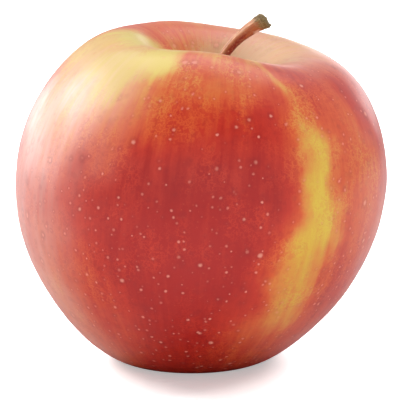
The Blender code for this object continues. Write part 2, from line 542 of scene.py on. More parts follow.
@dataclass(frozen=True)
class SkinPlace:
    """Where a spot of skin is, in the terms of the skin's graph.

    Place is in millimetres. Distance is in millimetres down the outline, and turn is the
    azimuth in radians. Depth and azimuth say the same in millimetres and degrees, made
    uneven as the edges of real colour are.
    """

    graph: Graph
    place: Term
    distance: Term
    turn: Term
    azimuth: Term
    depth: Term

    def within(self, patch: Patch) -> Term:
        """How far the spot is inside a patch.

        Args:
            patch: The patch.

        Returns:
            1 in its middle, falling softly to 0 outside.
        """
        graph = self.graph
        across = graph.math("WRAP", self.azimuth - patch.azimuth, 180.0, -180.0) / patch.half_turn
        along = (self.depth - patch.distance) / patch.half_length
        reach = graph.math("SQRT", across * across + along * along)
        return 1.0 - graph.ease(reach, 1.0 - patch.softness, 1.0 + patch.softness * 0.7)


@dataclass(frozen=True)
class SkinFinish:
    """The apple's skin: red blush over a yellow ground, with streaks, pores and russet, and pale, bloomed
    skin that also carries a painted highlight and painted reflection haze on the left and in the hollow.

    Azimuths are in degrees from the front towards +X. Distances are in millimetres down
    the fruit's outline from the rim of the stem's socket.
    """

    base_blush: float = 0.86
    patches: tuple[Patch, ...] = (
        Patch("yellow under the lip", -29.0, 28.5, 11.0, 5.0, -0.55, 0.9),
        Patch("yellow shoulder", -44.0, 33.0, 15.0, 7.0, -0.56, 0.9),
        # The cream shoulder is partly the yellow ground and partly a painted highlight.
        Patch("cream shoulder and painted highlight", -58.0, 40.0, 30.0, 14.0, -0.52, 0.9),
        Patch("orange crown", 0.0, 31.0, 30.0, 7.0, -0.27),
        Patch("mottled front", -14.0, 42.0, 26.0, 10.0, -0.18),
        Patch("gold above the streak", 38.0, 38.0, 10.0, 10.0, -0.12),
        Patch("deep front", -4.0, 70.0, 28.0, 28.0, 0.17),
        Patch("low right", 34.0, 92.0, 26.0, 12.0, -0.18),
        Patch("low left", -56.0, 92.0, 26.0, 24.0, -0.25),
        Patch("far left shoulder", -86.0, 29.0, 32.0, 9.0, -0.46, 0.9),
        Patch("far lip", 178.0, 25.0, 70.0, 5.0, -0.28),
        Patch("right cheek", 58.0, 52.0, 19.0, 22.0, -0.27),
        Patch("peach shoulder", 98.0, 24.0, 46.0, 9.0, -0.27),
        Patch("lip", -14.0, 23.5, 60.0, 3.5, -0.26),
        # A narrow redder band on the right shoulder is painted shade, where the reflections break off.
        Patch("painted shade band on the right shoulder", 68.0, 39.0, 6.0, 8.0, 0.16),
        Patch("pale back", 168.0, 70.0, 46.0, 34.0, -0.62),
        Patch("back shoulder", -138.0, 40.0, 20.0, 12.0, -0.35),
        Patch("pale base", 10.0, 124.0, 400.0, 10.0, -0.40),
        Patch("pale hollow", 0.0, 12.0, 400.0, 11.0, -0.42),
        Patch("pale hollow left", -80.0, 18.0, 26.0, 9.0, -0.35),
        Patch("low side", 118.0, 88.0, 18.0, 22.0, -0.16),
        Patch("shaded left back", -110.0, 78.0, 20.0, 26.0, 0.10),
    )
    streak_middle: Drawn = (
        (0.0, 18.0), (26.0, 24.0), (36.0, 32.0), (46.0, 35.5), (66.0, 36.5), (78.0, 35.5),
        (92.0, 30.0), (130.0, 24.0),
    )
    streak_width: Drawn = (
        (0.0, 1.0), (26.0, 1.6), (42.0, 3.5), (52.0, 4.8), (62.0, 7.0), (72.0, 12.0), (82.0, 13.0),
        (92.0, 11.0), (130.0, 6.0),
    )
    streak_strength: Drawn = (
        (0.0, 0.0), (18.0, 0.0), (28.0, 0.5), (38.0, 0.35), (48.0, 0.85), (60.0, 1.0), (72.0, 0.84),
        (84.0, 0.54), (93.0, 0.2), (102.0, 0.0), (130.0, 0.0),
    )
    blush_colours: tuple[tuple[float, Colour], ...] = (
        (0.00, paint(218, 184, 62)),
        (0.15, paint(216, 164, 60)),
        (0.36, paint(218, 132, 58)),
        (0.58, paint(212, 86, 42)),
        (0.80, paint(194, 48, 30)),
        (1.00, paint(170, 26, 20)),
    )
    # Pale, bloomed patches: partly the skin's waxy coat, partly painted highlight and painted reflection
    # haze on the left side and in the hollow.
    blooms_and_highlights: tuple[Patch, ...] = (
        Patch("bloom on the left shoulder", -60.0, 43.0, 30.0, 16.0, 0.5),
        Patch("bloom on the left cheek", -74.0, 72.0, 24.0, 28.0, 0.24),
        Patch("bloom low on the left", -54.0, 88.0, 14.0, 24.0, 0.15),
        Patch("bloom in the hollow", 112.0, 20.0, 70.0, 10.0, 0.4),
    )
    # Pale pink of the bloomed patches, which also serves as painted highlight and reflection haze.
    bloom_and_highlight_colour: Colour = paint(234, 192, 174)
    pale_ground: Colour = paint(222, 204, 112)
    flame_colour: Colour = paint(146, 18, 20)
    pore_colour: Colour = paint(232, 142, 124)
    large_pore_colour: Colour = paint(228, 152, 132)
    fleck_colour: Colour = paint(218, 96, 64)
    halo_colour: Colour = paint(140, 24, 28)
    russet_colour: Colour = paint(214, 176, 136)
    outline_length: float = 130.0
    turn_limit: float = 90.0
    width_limit: float = 20.0
    streak_core: float = 0.42
    streak_border: float = 0.33
    sway: float = 20.0
    heave: float = 12.0
    broad_strength: float = 0.10
    fine_strength: float = 0.15
    hair_strength: float = 0.07
    flame_strength: float = 0.55
    pale_strength: float = 0.48
    mottle_strength: float = 0.16
    russet_azimuth: float = 138.0
    russet_reach: float = 12.0
    russet_strength: float = 0.85
    pore_spacing: float = 1.65
    pore_radii: tuple[float, float] = (0.44, 0.52)
    pore_shares: tuple[float, float] = (0.6, 0.9)
    large_pore_spacing: float = 4.2
    large_pore_radius: float = 0.74
    fleck_spacing: float = 1.1
    fleck_radius: float = 0.3
    roughness: float = 0.36
    coat_weight: float = 0.1
    coat_roughness: float = 0.28
    relief: float = 0.08 * MM

    def build(self, effects: SharedEffects) -> bpy.types.Material:
        """Build the material.

        Args:
            effects: The shared shader groups.

        Returns:
            The skin material, which reads the fruit's attributes "rest" and "along".
        """
        graph, material = Graph.material("apple_skin")
        place = graph.scaled(graph.attribute("rest", "Vector"), 1.0 / MM)
        distance = graph.attribute("along") / MM
        x, y, _ = graph.parts(place)
        turn = graph.math("ARCTAN2", x, -y)
        sine, cosine = graph.math("SINE", turn), graph.math("COSINE", turn)

        def streaks(across: float, along: float, detail: float = 2.0) -> Term:
            """Noise drawn out down the fruit, about 0."""
            spot = graph.vector(sine * across, cosine * across, distance * along)
            return (graph.noise(spot, 1.0, detail, 0.6) - 0.5) * 2.0

        broad = streaks(5.0, 0.035)
        fine = streaks(17.0, 0.06, 3.0)
        hair = streaks(46.0, 0.16, 2.0)
        sway = graph.noise(place, 0.07, 2.0) - 0.5
        heave = graph.noise(graph.moved(place, (37.0, 11.0, 5.0)), 0.09, 3.0) - 0.5
        azimuth = turn * math.degrees(1.0) + sway * self.sway + fine * 1.4
        depth = distance + heave * self.heave + broad * 2.0 + fine * 1.9
        at = SkinPlace(graph, place, distance, turn, azimuth, depth)

        blush = self._blush(at)
        blush = blush + broad * self.broad_strength + fine * self.fine_strength + hair * self.hair_strength
        blush = graph.math("ADD", blush, self._mottle(at, effects), clamp=True)

        colour = graph.ramp(blush, self.blush_colours)
        flames = graph.ease(streaks(12.0, 0.045, 4.0), 0.0, 0.8) * graph.ease(blush, 0.4, 0.9)
        colour = graph.lay(flames * self.flame_strength, colour, self.flame_colour)
        high = 1.0 - graph.ease(depth, 30.0, 52.0)
        yellow = 1.0 - graph.ease(blush, 0.0, 0.52)
        colour = graph.lay(high * yellow * self.pale_strength, colour, self.pale_ground)
        streaked_cover = 1.0 + fine * 0.9 + hair * 0.25
        # Lay the pale, bloomed patches; they also paint the highlight and the reflection haze on the left
        # side and in the hollow.
        for bloom_and_highlight in self.blooms_and_highlights:
            cover = at.within(bloom_and_highlight) * bloom_and_highlight.strength * streaked_cover
            colour = graph.lay(cover, colour, self.bloom_and_highlight_colour)

        russet = self._russet(at, hair)
        colour = graph.lay(russet, colour, self.russet_colour)
        colour, dots = self._pores(at, colour, blush, effects)

        grain = effects.grained(graph, place, 0.35, 2.6)
        rough = self.roughness + grain["Value"] * 0.05 + dots * 0.12 + russet * 0.22
        height = grain["Height"] * 0.35 + dots * 0.5 + russet * hair * 0.6
        graph.finish_surface({
            "Base Color": colour,
            "Roughness": rough,
            "Specular IOR Level": 0.5,
            "Coat Weight": self.coat_weight,
            "Coat Roughness": self.coat_roughness,
            "Normal": graph.bump(height, 0.35, self.relief),
        })
        return material

    def _blush(self, at: SkinPlace) -> Term:
        """How red the skin is before its fine pattern.

        Args:
            at: Where the spot is.

        Returns:
            The blush, about 0 to 1.
        """
        graph = at.graph
        blush: Value = self.base_blush
        for patch in self.patches:
            blush = blush + at.within(patch) * patch.strength
        middle = graph.curve(at.depth, self.streak_middle, self.outline_length, self.turn_limit)
        width = graph.curve(at.depth, self.streak_width, self.outline_length, self.width_limit)
        aside = graph.math("ABSOLUTE", at.azimuth - middle)
        core = 1.0 - graph.ease(aside, width * 0.1, width + 2.0)
        border = 1.0 - graph.ease(aside, width * 0.5, width + 9.0)
        there = graph.curve(at.depth, self.streak_strength, self.outline_length, 1.0)
        return blush - (core * self.streak_core + border * self.streak_border) * there

    def _mottle(self, at: SkinPlace, effects: SharedEffects) -> Term:
        """Fine squiggles where the ground shows through.

        Args:
            at: Where the spot is.
            effects: The shared shader groups.

        Returns:
            A small change of blush, mostly below 0.
        """
        graph = at.graph
        grain = effects.grained(graph, at.place, 0.55, 1.3, 0.55)
        lines = 1.0 - graph.ease(graph.math("ABSOLUTE", grain["Value"]), 0.0, 0.12)
        zones = graph.ease(graph.noise(at.place, 0.11, 2.0), 0.38, 0.66)
        return grain["Value"] * 0.10 - lines * zones * self.mottle_strength

    def _russet(self, at: SkinPlace, hair: Term) -> Term:
        """Corky skin round the stem, drawn out to one side of the hollow.

        Args:
            at: Where the spot is.
            hair: Fine noise drawn out down the fruit.

        Returns:
            How much of the skin is russet, 0 to 1.
        """
        graph = at.graph
        side = graph.math("COSINE", at.turn - math.radians(self.russet_azimuth))
        reach = self.russet_reach + graph.math("MAXIMUM", side, 0.0) * self.russet_reach
        ragged = at.distance + hair * 3.2 + (graph.noise(at.place, 0.5, 4.0, 0.7) - 0.5) * 6.0
        return (1.0 - graph.ease(ragged, reach * 0.5, reach)) * self.russet_strength

    def _pores(
        self, at: SkinPlace, colour: Term, blush: Term, effects: SharedEffects
    ) -> tuple[Term, Term]:
        """Lay fine flecks and two sizes of pore dots on the skin.

        Args:
            at: Where the spot is.
            colour: The skin's colour without them.
            blush: How red the skin is.
            effects: The shared shader groups.

        Returns:
            The colour with the dots, and the mask of all dots.
        """
        graph = at.graph
        low = graph.ease(at.distance, 45.0, 115.0, "LINEAR")
        bend = graph.noise(at.place, 0.8, 2.0) * 0.5
        spot = graph.moved(at.place, graph.vector(bend, bend, bend))
        radius, share = graph.between(low, *self.pore_radii), graph.between(low, *self.pore_shares)
        small_spot = graph.moved(spot, (4.7, 9.1, 6.2))
        small = effects.speckled(graph, small_spot, self.pore_spacing, radius, share)
        large_spot = graph.moved(spot, (13.0, 7.0, 3.0))
        large = effects.speckled(graph, large_spot, self.large_pore_spacing, self.large_pore_radius, 0.7)
        twist = (graph.noise(at.place, 1.9, 2.0) - 0.5) * 2.4
        fleck_spot = graph.moved(at.place, graph.vector(twist, -twist, twist * 0.4))
        flecks = effects.speckled(graph, fleck_spot, self.fleck_spacing, self.fleck_radius, 0.55)
        colour = graph.lay(flecks["Dot"] * blush * 0.24, colour, self.fleck_colour)
        colour = graph.lay(small["Halo"] * blush * 0.2, colour, self.halo_colour)
        colour = graph.lay(large["Halo"] * blush * 0.3, colour, self.halo_colour)
        strength = graph.between(small["Tone"], 0.3, 0.9)
        clear = graph.between(graph.ease(blush, 0.2, 0.6), 0.3, 1.0)
        colour = graph.lay(small["Dot"] * strength * clear, colour, self.pore_colour)
        colour = graph.lay(large["Dot"] * 0.7 * clear, colour, self.large_pore_colour)
        return colour, graph.math("MAXIMUM", small["Dot"], large["Dot"])


@dataclass(frozen=True)
class BarkFinish:
    """The stem's woody skin: red-brown and ridged, olive and corky at the broken tip, with painted shade,
    a painted red reflection of the fruit and painted highlights laid on its sides.
    """

    wood_colour: Colour = paint(172, 98, 56)
    umber_colour: Colour = paint(140, 66, 36)
    # Dark red of the painted shade and the painted reflection of the fruit on the stem's lower side.
    shade_and_reflection_red: Colour = paint(122, 28, 20)
    # Pale colour of the warts, also used for the painted highlight on the upper side.
    wart_and_highlight_colour: Colour = paint(236, 176, 136)
    # Colour of the painted highlight on the flare's underside.
    flare_glint_colour: Colour = paint(216, 180, 164)
    tip_colour: Colour = paint(142, 128, 80)
    tip_dark_colour: Colour = paint(72, 56, 30)
    dust_colour: Colour = paint(206, 176, 140)
    painted_shade_side: float = math.radians(38.0)
    painted_highlight_side: float = math.radians(166.0)
    flare_glint_side: float = math.radians(24.0)
    flare_glint_share: float = 0.885
    roughness: float = 0.5
    relief: float = 0.12 * MM

    def build(self, effects: SharedEffects) -> bpy.types.Material:
        """Build the material.

        Args:
            effects: The shared shader groups.

        Returns:
            The bark material, which reads the stem's attributes "share" and "flank".
        """
        graph, material = Graph.material("stem_bark")
        share = graph.attribute("share")
        flank = graph.attribute("flank")
        spot = graph.object_place()
        around = graph.vector(
            graph.math("COSINE", flank) * 1.9, graph.math("SINE", flank) * 1.9, share * 5.0
        )
        ridge = graph.noise(around, 1.6, 3.0, 0.6)
        fine = graph.noise(around, 6.0, 3.0, 0.7)
        colour = graph.lay(graph.ease(fine, 0.4, 0.7) * 0.5, self.wood_colour, self.umber_colour)
        # Dark red laid on the lower right side from the foot most of the way up: painted shade and a
        # painted reflection of the fruit's red, not the stem's own colour.
        under = graph.ease(graph.math("COSINE", flank - self.painted_shade_side), 0.2, 0.75)
        ripe = (1.0 - graph.ease(share + (ridge - 0.5) * 0.4, 0.7, 0.94)) * 0.95
        colour = graph.lay(under * ripe, colour, self.shade_and_reflection_red)
        # Painted highlight: pale colour along the ridges of the stem's upper left side.
        upper = graph.ease(graph.math("COSINE", flank - self.painted_highlight_side), 0.45, 0.85)
        colour = graph.lay(upper * graph.ease(ridge, 0.3, 0.62) * 0.85, colour, self.wart_and_highlight_colour)
        # A pale spot on the underside of the flare below the tip: painted highlight.
        flare_glint = graph.ease(graph.math("COSINE", flank - self.flare_glint_side), 0.8, 0.97)
        aside = graph.math("ABSOLUTE", share - self.flare_glint_share)
        flare_glint = flare_glint * (1.0 - graph.ease(aside, 0.01, 0.045))
        corky = graph.ease(share + (ridge - 0.5) * 0.16, 0.89, 0.96)
        corky_colour = graph.lay(graph.ease(fine, 0.42, 0.62), self.tip_dark_colour, self.tip_colour)
        colour = graph.lay(corky * 0.9, colour, corky_colour)
        colour = graph.lay(flare_glint * 0.8, colour, self.flare_glint_colour)
        warts = effects.speckled(graph, spot, 0.9, 0.16, 0.6)
        colour = graph.lay(warts["Dot"] * 0.45, colour, self.wart_and_highlight_colour)
        grain = effects.grained(graph, around, 2.0, 9.0)
        height = ridge * 0.8 + fine * 0.35 + warts["Dot"] * 0.3 + grain["Height"] * 0.3
        graph.finish_surface({
            "Base Color": effects.dusted(graph, colour, self.dust_colour, spot, 0.6, 0.3),
            "Roughness": self.roughness + grain["Value"] * 0.12 + corky * 0.3,
            "Specular IOR Level": 0.45,
            "Normal": graph.bump(height, 0.6, self.relief),
        })
        return material


@dataclass(frozen=True)
class DriedLeafFinish:
    """A sepal dried on the fruit: brown, veined, paler and downy towards its edge."""

    dark_colour: Colour = paint(84, 58, 34)
    leaf_colour: Colour = paint(136, 102, 62)
    edge_colour: Colour = paint(186, 156, 110)
    dust_colour: Colour = paint(200, 188, 160)
    veins: float = 9.0
    vein_slant: float = 2.5
    roughness: float = 0.82
    relief: float = 0.1 * MM

    def build(self, effects: SharedEffects) -> bpy.types.Material:
        """Build the material.

        Args:
            effects: The shared shader groups.

        Returns:
            The sepal material, which reads the attributes "share" and "flank".
        """
        graph, material = Graph.material("dried_leaf")
        share = graph.attribute("share")
        side = graph.math("ABSOLUTE", graph.attribute("flank"))
        spot = graph.object_place()
        vein_wave = graph.math("SINE", (share * self.veins - side * self.vein_slant) * math.tau)
        veins = graph.ease(vein_wave, 0.7, 1.0) * 0.6
        midrib = 1.0 - graph.ease(side, 0.0, 0.16)
        grain = effects.grained(graph, spot, 0.9, 5.0)
        tone = graph.ease(grain["Height"], 0.35, 0.65)
        colour = graph.lay(tone, self.dark_colour, self.leaf_colour)
        colour = graph.lay(graph.math("MAXIMUM", veins, midrib) * 0.5, colour, self.edge_colour)
        colour = graph.lay(graph.ease(side, 0.7, 1.0) * 0.6, colour, self.edge_colour)
        spots = effects.speckled(graph, spot, 0.8, 0.18, 0.5)
        colour = graph.lay(spots["Dot"] * 0.6, colour, self.dark_colour)
        height = graph.math("MAXIMUM", veins, midrib) + grain["Height"] * 0.6
        graph.finish_surface({
            "Base Color": effects.dusted(graph, colour, self.dust_colour, spot, 0.7, 0.5),
            "Roughness": self.roughness + grain["Value"] * 0.08,
            "Sheen Weight": 0.3,
            "Sheen Roughness": 0.5,
            "Normal": graph.bump(height, 0.5, self.relief),
        })
        return material


@dataclass(frozen=True)
class StamenFinish:
    """Dried stamens: dark brown threads with rusty heads."""

    thread_colour: Colour = paint(74, 50, 32)
    head_colour: Colour = paint(148, 104, 58)
    dust_colour: Colour = paint(190, 170, 136)
    roughness: float = 0.85
    relief: float = 0.08 * MM

    def build(self, effects: SharedEffects) -> bpy.types.Material:
        """Build the material.

        Args:
            effects: The shared shader groups.

        Returns:
            The stamen material, which reads the attribute "share".
        """
        graph, material = Graph.material("dried_thread")
        share = graph.attribute("share")
        spot = graph.object_place()
        grain = effects.grained(graph, spot, 1.4, 7.0)
        head = graph.ease(share + grain["Value"] * 0.1, 0.72, 0.86)
        colour = graph.lay(head, self.thread_colour, self.head_colour)
        graph.finish_surface({
            "Base Color": effects.dusted(graph, colour, self.dust_colour, spot, 0.5, 0.5),
            "Roughness": self.roughness + grain["Value"] * 0.08,
            "Normal": graph.bump(grain["Height"], 0.5, self.relief),
        })
        return material


@dataclass(frozen=True)
class FloorFinish:
    """A smooth, nearly white table top with a trace of grain."""

    colour: Colour = paint(248, 248, 248)
    grain_colour: Colour = paint(243, 243, 243)
    bounced_colour: Colour = paint(170, 170, 170)
    lift: float = 0.42
    far_lift: float = 0.8
    lift_range: tuple[float, float] = (300.0, 1500.0)
    roughness: float = 0.85

    def build(self, effects: SharedEffects) -> bpy.types.Material:
        """Build the material.

        Args:
            effects: The shared shader groups.

        Returns:
            The floor material.
        """
        graph, material = Graph.material("pale_floor")
        spot = graph.object_place()
        grain = effects.grained(graph, spot, 0.02, 0.6, 0.4)
        x, y, _ = graph.parts(spot)
        far = graph.ease(graph.math("SQRT", x * x + y * y), *self.lift_range)
        seen = graph.out("ShaderNodeLightPath", "Is Camera Ray", {})
        pale = graph.lay(grain["Height"], self.colour, self.grain_colour)
        graph.finish_surface({
            "Base Color": graph.lay(seen, self.bounced_colour, pale),
            "Roughness": self.roughness + grain["Value"] * 0.05,
            "Specular IOR Level": 0.15,
            "Emission Strength": seen * graph.between(far, self.lift, self.far_lift),
        })
        return material


# --------------------------------------------------------------------------------------
# Pieces
# --------------------------------------------------------------------------------------


def add_piece(name: str, mesh: bpy.types.Mesh, node: str) -> bpy.types.Object:
    """Hang a finished mesh on the fruit's body in the place of a CAD node.

    Args:
        name: The piece's name.
        mesh: Its mesh, with its place in its vertices and its material set.
        node: The CAD node that it stands for.

    Returns:
        The piece.
    """
    piece = bpy.data.objects.new(name, mesh)
    bpy.context.scene.collection.objects.link(piece)
    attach(piece, BODY)
    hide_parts(node)
    LOG.info("%s: %d faces, stands for %s", name, len(mesh.polygons), node)
    return piece


def turn_outwards(mesh: bpy.types.Mesh) -> None:
    """Make the faces of a closed mesh point outwards.

    Args:
        mesh: The mesh, which is changed in place.
    """
    shell = bmesh.new()
    shell.from_mesh(mesh)
    if shell.calc_volume(signed=True) < 0.0:
        bmesh.ops.reverse_faces(shell, faces=shell.faces)
    shell.to_mesh(mesh)
    shell.free()


def store(
    graph: Graph, shape: Term, name: str, value: Term, domain: str = "POINT", data_type: str = "FLOAT"
) -> Term:
    """Store a named attribute on a shape.

    Args:
        graph: The graph of Geometry Nodes.
        shape: The shape.
        name: The attribute's name.
        value: Its value.
        domain: What it is stored on.
        data_type: Its type.

    Returns:
        The shape with the attribute.
    """
    return graph.out(
        "GeometryNodeStoreNamedAttribute", 0,
        {"Geometry": shape, "Name": name, "Value": value}, domain=domain, data_type=data_type,
    )


def read(graph: Graph, name: str) -> Term:
    """Read a named number from the shape that a graph of Geometry Nodes is working on."""
    return graph.out("GeometryNodeInputNamedAttribute", "Attribute", {"Name": name}, data_type="FLOAT")


def placed(graph: Graph, shape: Term, **feeds: Term) -> Term:
    """Set the points of a shape, by their Position or an Offset."""
    return graph.out("GeometryNodeSetPosition", 0, {"Geometry": shape} | feeds)


def finished(graph: Graph, shape: Term) -> Term:
    """End a tree: make its instances real and give the shape its material."""
    real = graph.out("GeometryNodeRealizeInstances", 0, {"Geometry": shape})
    feeds = {"Geometry": real, "Material": graph.given["Material"]}
    return graph.out("GeometryNodeSetMaterial", 0, feeds)


def sockets_for(sizes: dict[str, Any]) -> dict[str, tuple[Socket, Any]]:
    """Choose the kind of each named input of a tree from its value.

    Args:
        sizes: A value for each named input.

    Returns:
        The inputs as Graph.group takes them.
    """

    def kind(size: Any) -> Socket:
        """The kind of socket that holds a value."""
        if isinstance(size, bpy.types.Material):
            return Socket.MATERIAL
        return Socket.COUNT if isinstance(size, int) else Socket.NUMBER

    return {label: (kind(size), None) for label, size in sizes.items()}


def evaluate_tree(tree: bpy.types.NodeTree, sizes: dict[str, Any]) -> bpy.types.Mesh:
    """Run a tree of Geometry Nodes once and keep its result as a plain mesh.

    Args:
        tree: The tree.
        sizes: A value for each named input.

    Returns:
        The mesh.
    """
    carrier = bpy.data.objects.new("carrier", bpy.data.meshes.new("carrier"))
    bpy.context.scene.collection.objects.link(carrier)
    modifier = carrier.modifiers.new("Build", "NODES")
    modifier.node_group = tree
    for item in tree.interface.items_tree:
        if item.in_out == "INPUT" and item.name in sizes:
            modifier[item.identifier] = sizes[item.name]
    depsgraph = bpy.context.evaluated_depsgraph_get()
    mesh = bpy.data.meshes.new_from_object(
        carrier.evaluated_get(depsgraph), preserve_all_data_layers=True, depsgraph=depsgraph
    )
    carrier.modifiers.remove(modifier)
    bpy.data.objects.remove(carrier, do_unlink=True)
    return mesh


@dataclass
class Fruit:
    """The fleshy fruit, turned in bands from its outline and then grown out of true."""

    width: float = 80.0 * MM
    height: float = 68.3 * MM
    cheek_height: float = 39.1 * MM
    crown_radius: float = 20.0 * MM
    ring_radius: float = 12.8 * MM
    flat_width: float = 3.0 * MM
    cavity_depth: float = 13.0 * MM
    socket_radius: float = 1.25 * MM
    socket_depth: float = 2.4 * MM
    basin_depth: float = 7.0 * MM
    eye_radius: float = 2.3 * MM
    eye_depth: float = 2.2 * MM
    crown_fullness: float = 0.52
    shoulder_fullness: float = 0.55
    belly_fullness: float = 0.555
    base_fullness: float = 0.24
    cavity_rim_flare: float = 0.55
    cavity_floor_flare: float = 0.18
    basin_rim_flare: float = 0.35
    basin_floor_flare: float = 0.5
    lean_angle: float = math.radians(0.9)
    lean_start: float = 0.25
    bend_angle: float = math.radians(3.4)
    socket_slant: float = math.radians(-6.0)
    lobes: Drawn = (
        (-178.0, 1.8 * MM), (-97.0, 2.2 * MM), (-33.0, -0.6 * MM), (58.0, 0.95 * MM), (119.0, 2.1 * MM),
    )
    lobe_sharpness: float = 5.0
    lobe_reach: float = 0.55
    lobe_start: float = 0.45
    undulation: float = 0.16 * MM
    furrows: int = 5
    furrow_depth: float = 0.35 * MM
    socket_margin: float = 0.03 * MM
    eye_margin: float = 0.3 * MM
    free_heights: tuple[float, float] = (2.0 * MM, 12.0 * MM)
    rings: tuple[int, ...] = (3, 5, 44, 52, 60, 4, 24, 4, 4)
    steps: int = 288
    resolution: int = 128
    weld: float = 0.001 * MM
    seed: int = 7
    middle: Vector = field(default_factory=Vector)

    @property
    def cavity_floor(self) -> float:
        """Height of the stalk hollow's floor, before the fruit leans."""
        return self.height - self.cavity_depth

    def lean(self, point: Vector) -> Vector:
        """Turn a point towards +X by an angle that grows with its height, as the fruit grew."""
        share = point.z / self.height
        angle = self.lean_angle * smooth_step(share / self.lean_start) + self.bend_angle * share
        sine, cosine = math.sin(angle), math.cos(angle)
        return Vector((point.x * cosine + point.z * sine, point.y, point.z * cosine - point.x * sine))

    def settle(self, point: Vector) -> Vector:
        """Lean a point over and put it where the CAD frame has it."""
        return self.lean(point) - self.middle

    def build(self, material: bpy.types.Material) -> bpy.types.Object:
        """Build the fruit.

        Args:
            material: The skin.

        Returns:
            The fruit's piece.
        """
        sizes = {
            "Width": self.width, "Height": self.height, "Cheek Height": self.cheek_height,
            "Crown Radius": self.crown_radius, "Ring Radius": self.ring_radius,
            "Flat Width": self.flat_width, "Cavity Depth": self.cavity_depth,
            "Socket Radius": self.socket_radius, "Socket Depth": self.socket_depth,
            "Basin Depth": self.basin_depth, "Eye Radius": self.eye_radius,
            "Eye Depth": self.eye_depth, "Steps": self.steps, "Seed": self.seed,
            "Undulation": 0.0, "Furrow Depth": 0.0, "Material": material,
        }
        tree = self._tree(self._band_group(), sizes)
        plain = evaluate_tree(tree, sizes)
        lowest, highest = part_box("fruit")
        for axis in (0, 1):
            places = [vertex.co[axis] for vertex in plain.vertices]
            self.middle[axis] = (min(places) + max(places) - lowest[axis] - highest[axis]) / 2.0
        bpy.data.meshes.remove(plain)

        uneven = {"Undulation": self.undulation, "Furrow Depth": self.furrow_depth}
        mesh = evaluate_tree(tree, sizes | uneven)
        mesh.name = "apple_fruit"
        mesh.transform(Matrix.Translation(-self.middle))
        turn_outwards(mesh)
        mesh.shade_smooth()
        mesh.uv_layers.active = mesh.uv_layers["OFBake"]
        return add_piece("apple_fruit", mesh, "fruit")

    def _band_group(self) -> bpy.types.NodeTree:
        """One bend of the outline, turned once round the axis.

        Returns:
            The group, whose outputs are the band and the distance along the outline at its end.
        """
        graph = Graph.group(
            "Turned Band",
            TreeKind.GEOMETRY,
            {
                "Start": (Socket.VECTOR, None),
                "Start Handle": (Socket.VECTOR, None),
                "End Handle": (Socket.VECTOR, None),
                "End": (Socket.VECTOR, None),
                "Rings": (Socket.COUNT, 8),
                "Steps": (Socket.COUNT, 64),
                "Distance": (Socket.NUMBER, 0.0),
            },
            {"Band": Socket.SHAPE, "Distance": Socket.NUMBER},
        )
        given = graph.given
        bend = graph.out(
            "GeometryNodeCurvePrimitiveBezierSegment", 0,
            {label: given[label] for label in ("Start", "Start Handle", "End Handle", "End")}
            | {"Resolution": self.resolution},
            mode="POSITION",
        )
        length = graph.out("GeometryNodeCurveLength", 0, {0: bend})
        counts = {"Vertices X": given["Rings"] + 1.0, "Vertices Y": given["Steps"] + 1.0}
        sheet = graph.out("GeometryNodeMeshGrid", 0, {"Size X": 1.0, "Size Y": 1.0} | counts)
        share, around, _ = graph.parts(graph.out("GeometryNodeInputPosition", 0, {}))
        share = share + 0.5
        feeds = {"Curves": bend, "Factor": share}
        spot = graph.out("GeometryNodeSampleCurve", "Position", feeds, mode="FACTOR")
        radius, _, height = graph.parts(spot)
        angle = around * math.tau
        sheet = store(graph, sheet, "along", given["Distance"] + share * length)
        sheet = store(graph, sheet, "turn", around + 0.5, domain="CORNER")
        x, y = radius * graph.math("SINE", angle), -(radius * graph.math("COSINE", angle))
        band = placed(graph, sheet, Position=graph.vector(x, y, height))
        graph.give({"Band": band, "Distance": given["Distance"] + length})
        return graph.tree

    def _bands(self, graph: Graph) -> list[tuple[Term, Term, Term, Term]]:
        """The outline's bends from the socket's floor over the crown to the eye's floor.

        Args:
            graph: The fruit's graph, whose named inputs are the sizes.

        Returns:
            For each bend its start, two handles and end.
        """
        given = graph.given
        floor = given["Height"] - given["Cavity Depth"]
        half = given["Width"] * 0.5
        outer = given["Ring Radius"] + given["Flat Width"] * 0.5
        inner = given["Ring Radius"] - given["Flat Width"] * 0.5
        crown, cheek, height = given["Crown Radius"], given["Cheek Height"], given["Height"]
        socket, eye, basin = given["Socket Radius"], given["Eye Radius"], given["Basin Depth"]
        socket_floor = floor - given["Socket Depth"]
        eye_roof = basin + given["Eye Depth"]

        def corner(radius: Value, height: Value) -> Term:
            """A point of the half section."""
            return graph.vector(radius, 0.0, height)

        def straight(start: Term, end: Term) -> tuple[Term, Term, Term, Term]:
            """A straight run of the half section."""
            return start, start, end, end

        socket_foot = corner(socket, socket_floor)
        hollow = corner(socket, floor)
        crown_point = corner(crown, height)
        cheek_point = corner(half, cheek)
        foot_outer = corner(outer, 0.0)
        foot_inner = corner(inner, 0.0)
        eye_point = corner(eye, basin)
        eye_top = corner(eye, eye_roof)
        return [
            straight(corner(0.0, socket_floor), socket_foot),
            straight(socket_foot, hollow),
            (
                hollow,
                corner(socket + crown * self.cavity_floor_flare, floor),
                corner(crown - crown * self.cavity_rim_flare, height),
                crown_point,
            ),
            (
                crown_point,
                corner(crown + (half - crown) * self.crown_fullness, height),
                corner(half, cheek + (height - cheek) * self.shoulder_fullness),
                cheek_point,
            ),
            (
                cheek_point,
                corner(half, cheek - cheek * self.belly_fullness),
                corner(outer + (half - outer) * self.base_fullness, 0.0),
                foot_outer,
            ),
            straight(foot_outer, foot_inner),
            (
                foot_inner,
                corner(inner - (inner - eye) * self.basin_rim_flare, 0.0),
                corner(eye + (inner - eye) * self.basin_floor_flare, basin),
                eye_point,
            ),
            straight(eye_point, eye_top),
            straight(eye_top, corner(0.0, eye_roof)),
        ]

